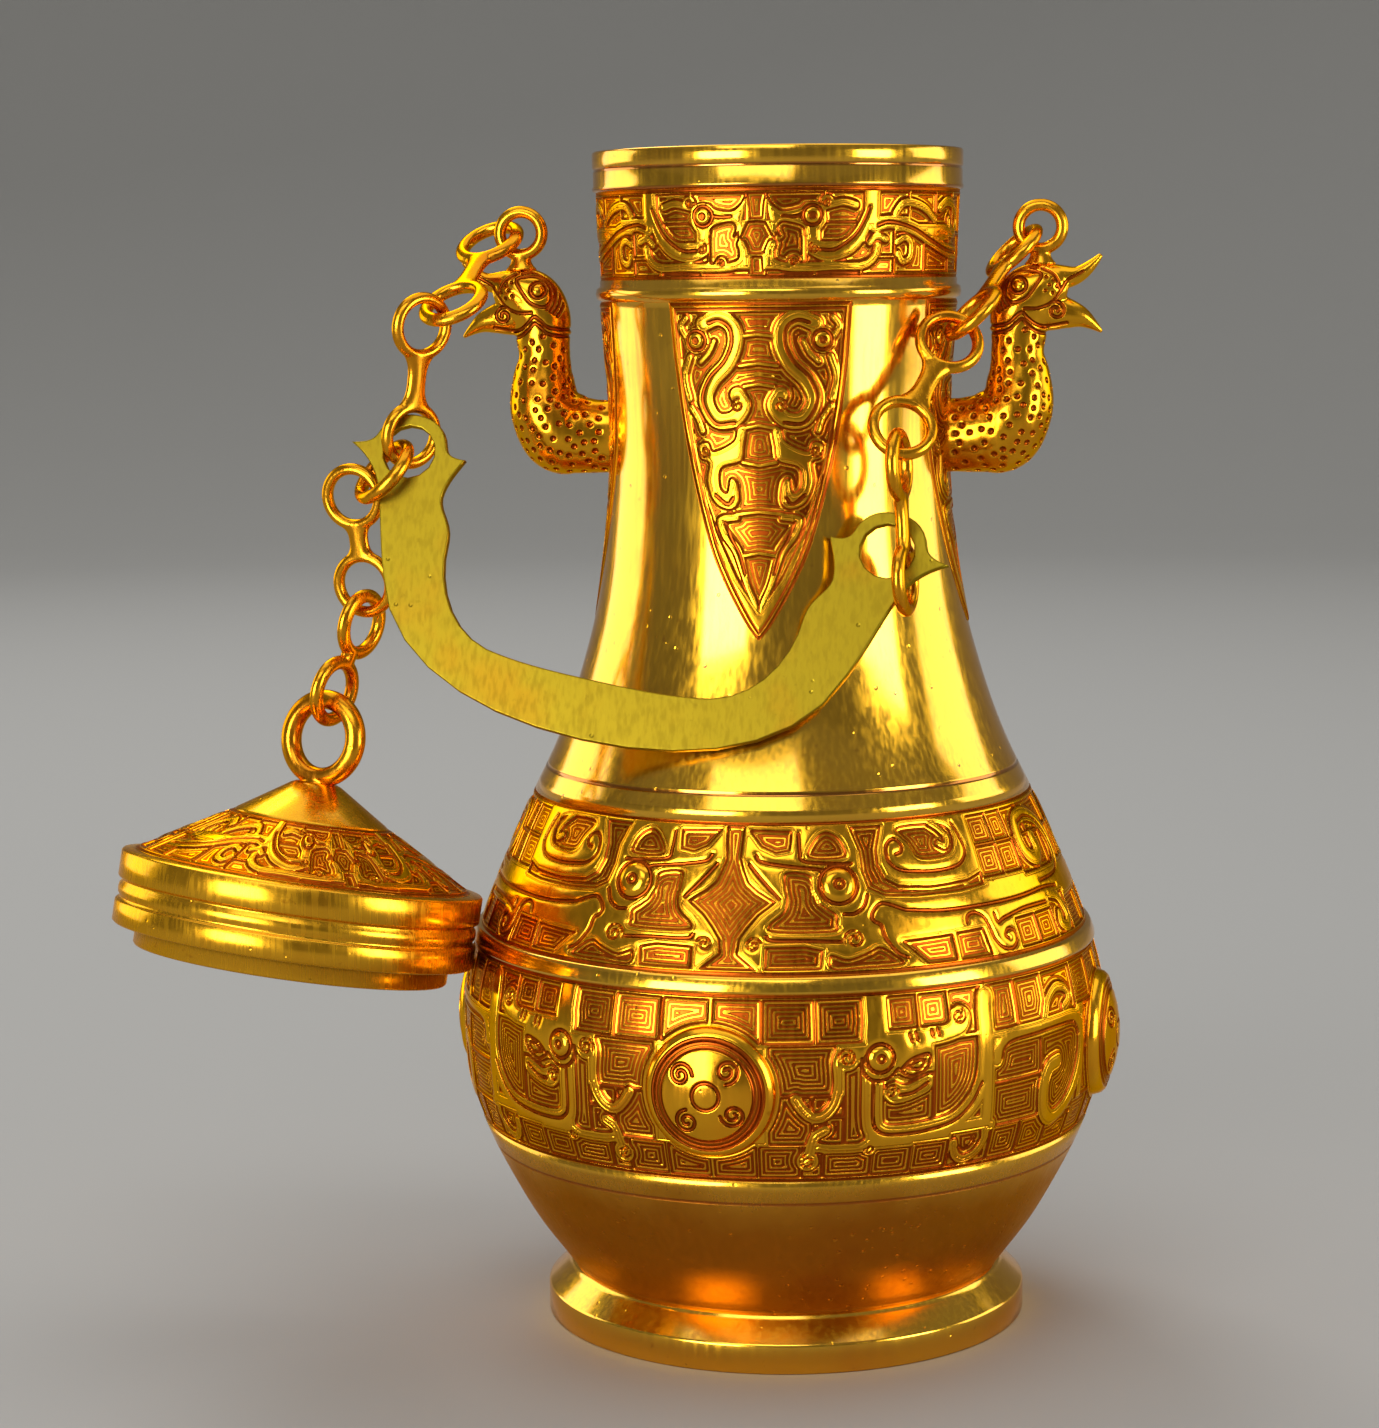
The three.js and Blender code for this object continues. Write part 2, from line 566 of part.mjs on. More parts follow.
const SWING_LIMIT = THREE.MathUtils.degToRad(40);
const bailSwing = restingSwing(
  (swing) => clearOfBody(bailBackPoints(hangBail(swing))), HANDLE_REST_GAP, -SWING_LIMIT / 4, SWING_LIMIT);
const bail = hangBail(bailSwing);
const lidSwing = restingSwing(
  (swing) => clearOfBody(lidEdgePoints(hangLid(bail.joining, swing))), LID_REST_GAP, -SWING_LIMIT / 4, SWING_LIMIT);
const lidHang = hangLid(bail.joining, lidSwing);

/** Half of the handle's outline from the lowest point of its outer edge round the eye to the inner edge. */
function handleHalf(span) {
  const eye = span / 2;
  const head = HANDLE_HEAD_RADIUS;
  const horn = HANDLE_HORN_REACH;
  const inner = HANDLE_DROP - HANDLE_WIDTH;
  return {
    start: [0, -HANDLE_DROP],
    curves: [
      [[eye * 0.45, -HANDLE_DROP], [eye * 0.86, -HANDLE_DROP * 0.86], [eye - 2, -HANDLE_DROP * 0.52]],
      [[eye + 1.5, -HANDLE_DROP * 0.38], [eye + 2.5, -18], [eye + 5.4, -10.6]],
      [[eye + 7, -6.5], [eye + 10, -3], [eye + horn, -0.4]],
      [[eye + 11.5, 0.2], [eye + 9.8, 1.2], [eye + head * 0.94, head * 0.34]],
      [[eye + head * 0.8, head * 0.82], [eye + head * 0.45, head], [eye, head]],
      [[eye - head * 0.45, head], [eye - head * 0.8, head * 0.82], [eye - head * 0.94, head * 0.34]],
      [[eye - 9.8, 1.2], [eye - 11.5, 0.6], [eye - horn + 0.6, 0.8]],
      [[eye - 13, -3], [eye - 11.4, -6], [eye - 11.4, -9.6]],
      [[eye - 11.6, -13], [eye - 15.6, -15], [eye - 16, -20]],
      [[eye - 16, -inner * 0.66], [eye - 22, -inner * 0.9], [eye - 33, -inner * 0.96]],
      [[eye * 0.32, -inner], [eye * 0.15, -inner], [0, -inner]],
    ],
  };
}

/** The crescent plate: a half outline of curves, its mirror image, and an eye at each end. */
function handlePlate({ span, xAxis, yAxis, front, leftEye }) {
  const { start, curves } = handleHalf(span);
  const shape = new THREE.Shape();
  shape.moveTo(...start);
  for (const curve of curves) shape.bezierCurveTo(...curve.flat());
  let end = start;
  const mirrored = curves.map((curve) => {
    const back = [curve[1], curve[0], end].map(([x, y]) => [-x, y]);
    end = curve[2];
    return back;
  });
  for (const curve of mirrored.reverse()) shape.bezierCurveTo(...curve.flat());
  for (const x of [-span / 2, span / 2]) {
    const hole = new THREE.Path();
    hole.absarc(x, 0, HANDLE_EYE_RADIUS, 0, 2 * Math.PI, true);
    shape.holes.push(hole);
  }
  const geometry = new THREE.ExtrudeGeometry(shape, {
    depth: HANDLE_THICKNESS, curveSegments: 7, bevelEnabled: false,
  }).translate(0, 0, -HANDLE_THICKNESS / 2);
  return placed(geometry, xAxis, yAxis, front, along(leftEye, xAxis, span / 2));
}

/** The lid: a hollow cone over a grooved rim, with a spigot that drops into the mouth. */
function lidShell() {
  const rim = LID_RADIUS;
  const [low, mid] = [-LID_RIM_HEIGHT, -LID_RIM_HEIGHT / 2];
  const groove = rim - LID_RIM_GROOVE;
  const step = LID_RIM_HEIGHT * 0.14;
  const bore = LID_SPIGOT_RADIUS - LID_WALL;
  return turned([
    [0, LID_TOP_HEIGHT - LID_WALL - 4], [LID_PLAIN_RADIUS - 2, LID_PLAIN_HEIGHT - LID_WALL],
    [bore, -LID_WALL], [bore, low - LID_SPIGOT_HEIGHT], [LID_SPIGOT_RADIUS, low - LID_SPIGOT_HEIGHT],
    [LID_SPIGOT_RADIUS, low], [rim, low], [rim, mid - step * 1.2], [groove, mid - step * 0.8],
    [rim - 0.5, mid], [groove, mid + step * 0.8], [rim, mid + step * 1.2], [rim, 0],
    [LID_CONE_FOOT_RADIUS, 0.8], [LID_PLAIN_RADIUS, LID_PLAIN_HEIGHT],
    [LID_TOP_RADIUS + 2, LID_TOP_HEIGHT - 2], [LID_TOP_RADIUS, LID_TOP_HEIGHT], [0, LID_TOP_HEIGHT],
  ], LID_SIDES);
}

/** The ring on the lid's top, in the lid's frame, with its foot cut flat to the top. */
function lidRingSolid(faces) {
  const ring = barRing(LID_RING_RADIUS, LID_RING_BAR, LID_RING_DEPTH, LID_RING_BAR / 3);
  const side = UP.clone().cross(faces).normalize();
  const height = LID_TOP_HEIGHT + LID_RING_RADIUS + LID_RING_BAR / 2 - SEAT_GAP;
  const standing = placed(ring, side, UP, faces, new THREE.Vector3(0, 0, height));
  const depth = 4;
  const below = new THREE.BoxGeometry(4 * LID_RING_RADIUS, 4 * LID_RING_RADIUS, depth);
  below.translate(0, 0, LID_TOP_HEIGHT + SEAT_GAP - depth / 2);
  return surface(solid(standing).subtract(solid(below)));
}

/** A whorl boss: a stepped rim round a low dome, its back cut to the belly. */
function whorlBoss(turn) {
  const outward = new THREE.Vector3(Math.sin(turn), -Math.cos(turn), 0);
  const lean = new THREE.Vector3(-outward.y, outward.x, 0);
  const root = bodyRadius(BOSS_HEIGHT);
  const depth = BOSS_CROWN + BOSS_RADIUS ** 2 / root;
  const disc = turned([
    [0, -depth], [BOSS_RADIUS, -depth], [BOSS_RADIUS, BOSS_CROWN * 0.3], [BOSS_RADIUS * 0.95, BOSS_CROWN * 0.45],
    [BOSS_RADIUS * 0.84, BOSS_CROWN * 0.45], [BOSS_RADIUS * 0.8, BOSS_CROWN * 0.62],
    [BOSS_RADIUS * 0.45, BOSS_CROWN * 0.92], [0, BOSS_CROWN],
  ], BOSS_SIDES);
  const rise = outward.clone().cross(lean);
  placed(disc, lean, rise, outward, along(new THREE.Vector3(0, 0, BOSS_HEIGHT), outward, root));
  return surface(solid(disc).subtract(seat));
}

/** Sets a dumbbell link where it hangs. */
function linkSolid({ top, run, faces, pitch }) {
  const yAxis = run.clone().negate();
  return placed(dumbbellLink(pitch), yAxis.clone().cross(faces), yAxis, faces, top);
}

/** Sets a plain ring where it hangs, square to its facing. */
function ringSolid(geometry, { faces, centre }) {
  const side = UP.clone().cross(faces).normalize();
  return placed(geometry, side, faces.clone().cross(side), faces, centre);
}

const bottle = new THREE.Group();

function addPiece(name, geometry, colour, roughness) {
  const material = new THREE.MeshStandardMaterial({ color: colour, roughness, metalness: 1 });
  const piece = new THREE.Mesh(geometry, material);
  piece.name = name;
  bottle.add(piece);
  return piece;
}

addPiece('vessel_body', vesselBody(), GILT, 0.22);
addPiece('foot_ring', footRing(), GILT, 0.22);
addPiece('base_plate', basePlate(), DULL_BRASS, 0.4);
BOSS_NAMES.forEach((name, i) => {
  addPiece(`${name}_whorl_boss`, whorlBoss(BOSS_TURN + (i * Math.PI) / 2), GILT, 0.22);
});
for (const [name, side, crest] of [['left', -1, bail.leftCrest], ['right', 1, bail.rightCrest]]) {
  addPiece(`${name}_bird`, birdLug(side), REDDENED_GILT, 0.28);
  const ring = wireRing(CREST_RING_RADIUS, CREST_RING_WIRE);
  addPiece(`${name}_crest_ring`, ringSolid(ring, crest), GILT, 0.25);
}
for (const [name, link] of [
  ['left_link_1', bail.left1], ['left_link_2', bail.left2],
  ['right_link_1', bail.right1], ['right_link_2', bail.right2], ['right_link_3', bail.right3],
  ['lid_link_1', lidHang.link1], ['lid_link_2', lidHang.link2],
]) {
  addPiece(name, linkSolid(link), REDDENED_GILT, 0.3);
}
const joiningBar = barRing(JOINING_RING_RADIUS, JOINING_RING_BAR, JOINING_RING_DEPTH);
addPiece('joining_ring', ringSolid(joiningBar, bail.joining), REDDENED_GILT, 0.3);
addPiece('handle', handlePlate(bail.handle), DULL_BRASS, 0.35);

const lidFrame = new THREE.Quaternion().setFromUnitVectors(UP, lidHang.axis);
const ringFaces = lidHang.ring.faces.clone().applyQuaternion(lidFrame.clone().invert());
for (const [name, geometry] of [['lid', lidShell()], ['lid_ring', lidRingSolid(ringFaces)]]) {
  const piece = addPiece(name, geometry, GILT, 0.25);
  piece.quaternion.copy(lidFrame);
  piece.position.copy(lidHang.rim);
}

export default bottle;
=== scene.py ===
"""Gilt bronze bottle with bird lugs, a chain-hung plate handle and a chained lid."""
import math

import bmesh
import bpy
import numpy as np
from mathutils import Matrix, Vector


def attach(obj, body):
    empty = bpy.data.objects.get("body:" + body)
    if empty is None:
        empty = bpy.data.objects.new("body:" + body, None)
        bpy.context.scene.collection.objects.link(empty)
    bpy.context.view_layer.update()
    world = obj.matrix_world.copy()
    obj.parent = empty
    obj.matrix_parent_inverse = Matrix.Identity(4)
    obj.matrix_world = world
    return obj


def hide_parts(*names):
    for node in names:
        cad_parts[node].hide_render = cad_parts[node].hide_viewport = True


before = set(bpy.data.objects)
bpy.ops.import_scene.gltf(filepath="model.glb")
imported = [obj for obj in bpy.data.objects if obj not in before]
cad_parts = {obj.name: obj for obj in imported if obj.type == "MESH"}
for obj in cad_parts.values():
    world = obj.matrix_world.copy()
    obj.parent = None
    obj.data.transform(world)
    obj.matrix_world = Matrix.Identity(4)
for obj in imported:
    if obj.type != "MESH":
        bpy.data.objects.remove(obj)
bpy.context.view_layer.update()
MM = 0.001
TURN = 2 * math.pi
UP = np.array([0, 0, 1.0])

# Cast ornament, in millimetres: its thread lines, cut lines, soft edges, and the reach of every distance
THREAD_PITCH = 1.02
CUT_WIDTH = 0.36
GROUND_BEVEL = 0.5
PILLOW_REACH = 1.8
FAR = 9.0

# Heights of the lines scored round the wall and the mouth, in millimetres
SCORED = (47.0, 144.4, 290.3, 295.3)


# Curves and distances in millimetres

def curve_through(points, steps=7, closed=False):
    """Catmull-Rom curve: a cubic between each two points, sloped at each point along its two neighbours."""
    p = np.asarray(points, float)
    if len(p) < 3:
        return p
    if closed:
        q = np.vstack([p[-1:], p, p[:2]])
    else:
        q = np.vstack([2 * p[0] - p[1], p, 2 * p[-1] - p[-2]])
    t = np.linspace(0, 1, steps, endpoint=False)[:, None]
    out = []
    for a, b, c, d in zip(q[:-3], q[1:-2], q[2:-1], q[3:]):
        out.append(0.5 * (2 * b + (c - a) * t + (2 * a - 5 * b + 4 * c - d) * t ** 2
                          + (3 * b - a - 3 * c + d) * t ** 3))
    line = np.vstack(out)
    return line if closed else np.vstack([line, p[-1:]])


def stroke_distance(u, v, line):
    """Distance from every (u, v) to an open line: the least to any of its segments, and FAR at most."""
    best = np.full(u.shape, FAR)
    for (ax, ay), (bx, by) in zip(line[:-1], line[1:]):
        near = ((u > min(ax, bx) - FAR) & (u < max(ax, bx) + FAR)
                & (v > min(ay, by) - FAR) & (v < max(ay, by) + FAR))
        if not near.any():
            continue
        x, y = u[near] - ax, v[near] - ay
        dx, dy = bx - ax, by - ay
        t = np.clip((x * dx + y * dy) / max(dx * dx + dy * dy, 1e-9), 0, 1)
        best[near] = np.minimum(best[near], np.hypot(x - t * dx, y - t * dy))
    return best


def cell_depth(u, v, outline):
    """Distance to a closed outline, positive inside, where a ray crosses it an odd number of times."""
    ring = np.vstack([outline, outline[:1]])
    low, high = outline.min(0) - FAR, outline.max(0) + FAR
    near = (u > low[0]) & (u < high[0]) & (v > low[1]) & (v < high[1])
    x, y = u[near], v[near]
    inside = np.zeros(x.shape, bool)
    gap = np.full(x.shape, np.inf)
    for (ax, ay), (bx, by) in zip(ring[:-1], ring[1:]):
        dx, dy = bx - ax, by - ay
        t = np.clip(((x - ax) * dx + (y - ay) * dy) / max(dx * dx + dy * dy, 1e-9), 0, 1)
        gap = np.minimum(gap, np.hypot(x - ax - t * dx, y - ay - t * dy))
        if dy:
            inside ^= ((ay > y) != (by > y)) & (x < ax + (y - ay) * dx / dy)
    depth = np.full(u.shape, -FAR)
    depth[near] = np.where(inside, gap, -np.minimum(gap, FAR))
    return depth


def spiral_line(u, v, radius, start, turns, hand):
    """Shrinking spiral: the radius falls evenly to a fifth over the turns."""
    t = np.linspace(0, 1, 26)
    angle = math.radians(start) + hand * turns * TURN * t
    r = radius * (1 - 0.8 * t)
    return np.stack([u + r * np.cos(angle), v + r * np.sin(angle)], 1)


def ring_line(u, v, radius):
    """Circle about a point, as a closed line."""
    t = np.linspace(0, TURN, 33)
    return np.stack([u + radius * np.cos(t), v + radius * np.sin(t)], 1)


def relief(u, v, motif, depth=0.45, pillow=0.25):
    """Height of a motif, depth into its sunk ground and distance to its cut lines, over a grid.

    Cells and tiles are ground, and solids, bars and discs stand out of it. What stands is pillowed toward
    its edges, the ground is sunk with a soft bevel, a cut line is a bell-shaped groove and an eye is a dome.
    """
    edge = np.full(u.shape, -FAR)
    line = np.full(u.shape, FAR)
    for kind, points in motif["cells"]:
        p = np.asarray(points, float)
        if kind == "middle":
            p = np.vstack([p, p[::-1] * (-1, 1)])
        shape = curve_through(p, 5, True) if kind == "soft" else p
        edge = np.maximum(edge, cell_depth(u, v, shape))
    for u0, u1, v0, v1 in motif.get("tiles", []):
        box = np.array([(u0, v0), (u1, v0), (u1, v1), (u0, v1)], float)
        edge = np.maximum(edge, cell_depth(u, v, box))
    for points in motif.get("solids", []):
        edge = np.minimum(edge, -cell_depth(u, v, curve_through(points, 5, True)))
    for half_width, points in motif.get("bars", []):
        edge = np.minimum(edge, stroke_distance(u, v, curve_through(points)) - half_width)
    for du, dv, r in motif.get("discs", []):
        edge = np.minimum(edge, np.hypot(u - du, v - dv) - r)
    for points in motif["lines"]:
        line = np.minimum(line, stroke_distance(u, v, curve_through(points)))
    for spiral in motif["spirals"]:
        line = np.minimum(line, stroke_distance(u, v, spiral_line(*spiral)) + 0.16)
    dome = np.zeros(u.shape)
    for eu, ev, r in motif["eyes"]:
        for ring in (r, 0.22 * r):
            line = np.minimum(line, stroke_distance(u, v, ring_line(eu, ev, ring)))
        away = np.hypot(u - eu, v - ev)
        edge = np.where(away < 1.35 * r, np.minimum(edge, -0.4), edge)
        dome = np.maximum(dome, 0.28 * r * np.sqrt(np.clip(1 - (away / (0.86 * r)) ** 2, 0, 1)))
    room = np.clip(np.minimum(-edge, line), 0, PILLOW_REACH) / PILLOW_REACH
    height = pillow * (1 - (1 - room) ** 2) + dome
    step = np.clip(edge / GROUND_BEVEL, 0, 1)
    height = height - depth * step * step * (3 - 2 * step)
    height = height - 0.6 * depth * np.exp(-(line / CUT_WIDTH) ** 2)
    return height, edge, line


# Meshes

def give_values(mesh, values):
    """Stores one number a point under each name, for the finishes."""
    for key, data in values.items():
        layer = mesh.attributes.new(key, "FLOAT", "POINT")
        layer.data.foreach_set("value", np.asarray(data, np.float32).ravel())


def settle(name, mesh, material, body, nodes=()):
    """Makes a piece of a mesh, gives it its finish and says what carries it."""
    piece = bpy.data.objects.new(name, mesh)
    bpy.context.scene.collection.objects.link(piece)
    mesh.materials.append(material)
    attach(piece, body)
    if nodes:
        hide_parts(*nodes)


def publish(name, points, quads, tris, material, body, values=None, nodes=()):
    """Makes one closed piece from points in millimetres, turned outward by the sign of its volume."""
    points = np.asarray(points, float).reshape(-1, 3)
    tris = np.asarray(tris, int).reshape(-1, 3)
    halves = np.vstack([quads[:, [0, 1, 2]], quads[:, [0, 2, 3]], tris])
    a, b, c = (points[halves[:, k]] for k in range(3))
    if np.einsum("ij,ij->i", a, np.cross(b, c)).sum() < 0:
        quads, tris = quads[:, ::-1], tris[:, ::-1]
    mesh = bpy.data.meshes.new(name)
    mesh.vertices.add(len(points))
    mesh.vertices.foreach_set("co", (points * MM).astype(np.float32).ravel())
    loops = np.concatenate([quads.ravel(), tris.ravel()])
    mesh.loops.add(len(loops))
    mesh.loops.foreach_set("vertex_index", loops.astype(np.int32))
    sizes = np.concatenate([np.full(len(quads), 4), np.full(len(tris), 3)])
    mesh.polygons.add(len(sizes))
    mesh.polygons.foreach_set("loop_start", (np.cumsum(sizes) - sizes).astype(np.int32))
    mesh.update(calc_edges=True)
    mesh.validate()
    mesh.polygons.foreach_set("use_smooth", np.ones(len(mesh.polygons), bool))
    give_values(mesh, values or {})
    settle(name, mesh, material, body, nodes)


def grid_faces(n, m, closed_n=True, closed_m=True):
    """Quads of an n by m grid of points that closes on itself along either way."""
    rows, columns = np.arange(n if closed_n else n - 1), np.arange(m if closed_m else m - 1)
    i, j = np.meshgrid(rows, columns, indexing="ij")
    k, l = (i + 1) % n, (j + 1) % m
    return np.stack([i * m + j, k * m + j, k * m + l, i * m + l], -1).reshape(-1, 4)


def end_fans(n, m):
    """Triangles from two points added after an n by m grid, closed along n, to its first and last rows."""
    i = np.arange(n)
    k = (i + 1) % n
    return np.vstack([np.stack([np.full(n, n * m), k * m, i * m], 1),
                      np.stack([np.full(n, n * m + 1), i * m + m - 1, k * m + m - 1], 1)])


def round_axis(r, z, angle):
    """Points at a radius, a height and an angle about the axis, from the front toward the right."""
    r, z, angle = np.broadcast_arrays(r, z, angle)
    return np.stack([r * np.sin(angle), -r * np.cos(angle), z], -1)


def turned(name, outline, columns, material, body, nodes, place=None):
    """Turns an outline of (radius, height) that starts and ends on the axis about it."""
    p = np.asarray(outline, float)
    angle = np.linspace(0, TURN, columns, endpoint=False)[:, None]
    grid = round_axis(p[1:-1, 0], p[1:-1, 1], angle)
    n, m = grid.shape[:2]
    points = np.vstack([grid.reshape(-1, 3), [[0, 0, p[0, 1]], [0, 0, p[-1, 1]]]])
    if place is not None:
        points = place(points)
    publish(name, points, grid_faces(n, m, True, False), end_fans(n, m), material, body, None, nodes)


def turned_ring(name, outline, columns, material, body, nodes):
    """Turns a closed outline of (radius, height) that stays clear of the axis about it."""
    p = np.asarray(outline, float)
    grid = round_axis(p[:, 0], p[:, 1], np.linspace(0, TURN, columns, endpoint=False)[:, None])
    publish(name, grid, grid_faces(columns, len(p)), [], material, body, None, nodes)


def band(name, profile, motif, half, tall, turn, columns, rows, body, place=None, thick=1.5):
    """Sleeve of cast ornament: a motif of half a width, mirrored and set twice round the axis on a profile.

    The relief stands square to the profile's slope, with a fine line cut along both rims.
    """
    line = curve_through(profile, 12)
    s = np.concatenate([[0], np.cumsum(np.hypot(*np.diff(line, axis=0).T))])
    t = np.linspace(0, 1, rows)
    r = np.interp(t * s[-1], s, line[:, 0])
    z = np.interp(t * s[-1], s, line[:, 1])
    slope = np.stack([np.gradient(z), -np.gradient(r)], 1)
    slope /= np.linalg.norm(slope, axis=1)[:, None]
    u, v = np.meshgrid(np.linspace(0, half, columns + 1), t * tall, indexing="ij")
    height, edge, mark = relief(u, v, motif)
    rim_line = np.minimum(np.abs(v - 0.45), np.abs(tall - 0.45 - v))
    mark = np.minimum(mark, rim_line)
    rim = np.clip(np.minimum(v, tall - v) / GROUND_BEVEL, 0, 1)
    height = height * rim - 0.25 * np.exp(-(rim_line / 0.3) ** 2)
    total = 4 * columns
    fold = np.abs((np.arange(total) + columns) % (2 * columns) - columns)
    height, edge, mark = height[fold], edge[fold], mark[fold]
    angle = (math.radians(turn) + TURN * np.arange(total) / total)[:, None]
    outer = round_axis(r + height * slope[:, 0], z + height * slope[:, 1], angle)
    back = np.linspace(rows - 1, 0, 8).round().astype(int)
    inner = round_axis(r[back] - thick * slope[back, 0], z[back] - thick * slope[back, 1], angle)
    grid = np.concatenate([outer, inner], 1)
    pad = np.full((total, len(back)), FAR)
    values = {"edge": np.concatenate([edge, -pad], 1), "mark": np.concatenate([mark, pad], 1)}
    points = grid.reshape(-1, 3)
    if place is not None:
        points = place(points)
    publish(name, points, grid_faces(*grid.shape[:2]), [], RELIEF, body, values)


# Finishes

def linear(code):
    """Linear colour of an sRGB hex code."""
    c = [int(code[k:k + 2], 16) / 255 for k in (0, 2, 4)]
    return tuple(x / 12.92 if x < 0.04045 else ((x + 0.055) / 1.055) ** 2.4 for x in c) + (1,)


def add(tree, kind, inputs=(), out=0, **settings):
    """Adds a shader node with its settings, sets or links its inputs and gives one of its outputs."""
    node = tree.nodes.new("ShaderNode" + kind)
    for key, value in settings.items():
        setattr(node, key, value)
    for socket, value in inputs.items() if isinstance(inputs, dict) else enumerate(inputs):
        if isinstance(value, bpy.types.NodeSocket):
            tree.links.new(value, node.inputs[socket])
        else:
            node.inputs[socket].default_value = value
    return node.outputs[out]


# Settings of the nodes below
TIMES = {"operation": "MULTIPLY"}
PLUS = {"operation": "ADD"}
LESS = {"operation": "SUBTRACT"}
MOST = {"operation": "MAXIMUM"}
UNSIGNED = {"operation": "ABSOLUTE"}
COSINE = {"operation": "COSINE"}
EASED = {"interpolation_type": "SMOOTHSTEP"}
COLOURS = {"data_type": "RGBA", "out": 2}

# Sizes of the marks in the metal, in millimetres
CLOUD_SIZE = 22.2
BLOTCH_SIZE = 45.5
FLECK_SIZE = 2.38
RUB_WIDTH = 1.11
RUB_LENGTH = 25.0
PIT_SPACING = 6.25
POCK_SPACING = 3.03
LUMP_SIZE = 7.7

# The wall goes from gilt to a darker red-brown, painted shade for a dark floor reflected in the low belly,
# with red blotches and pocks, between these heights in metres, raised by about 10 mm for a ragged edge
SHADE_AND_WEAR_BELOW = 0.048
GILT_ABOVE = 0.068
GOLD_EDGE = (1.0, 0.72, 0.36, 1.0)


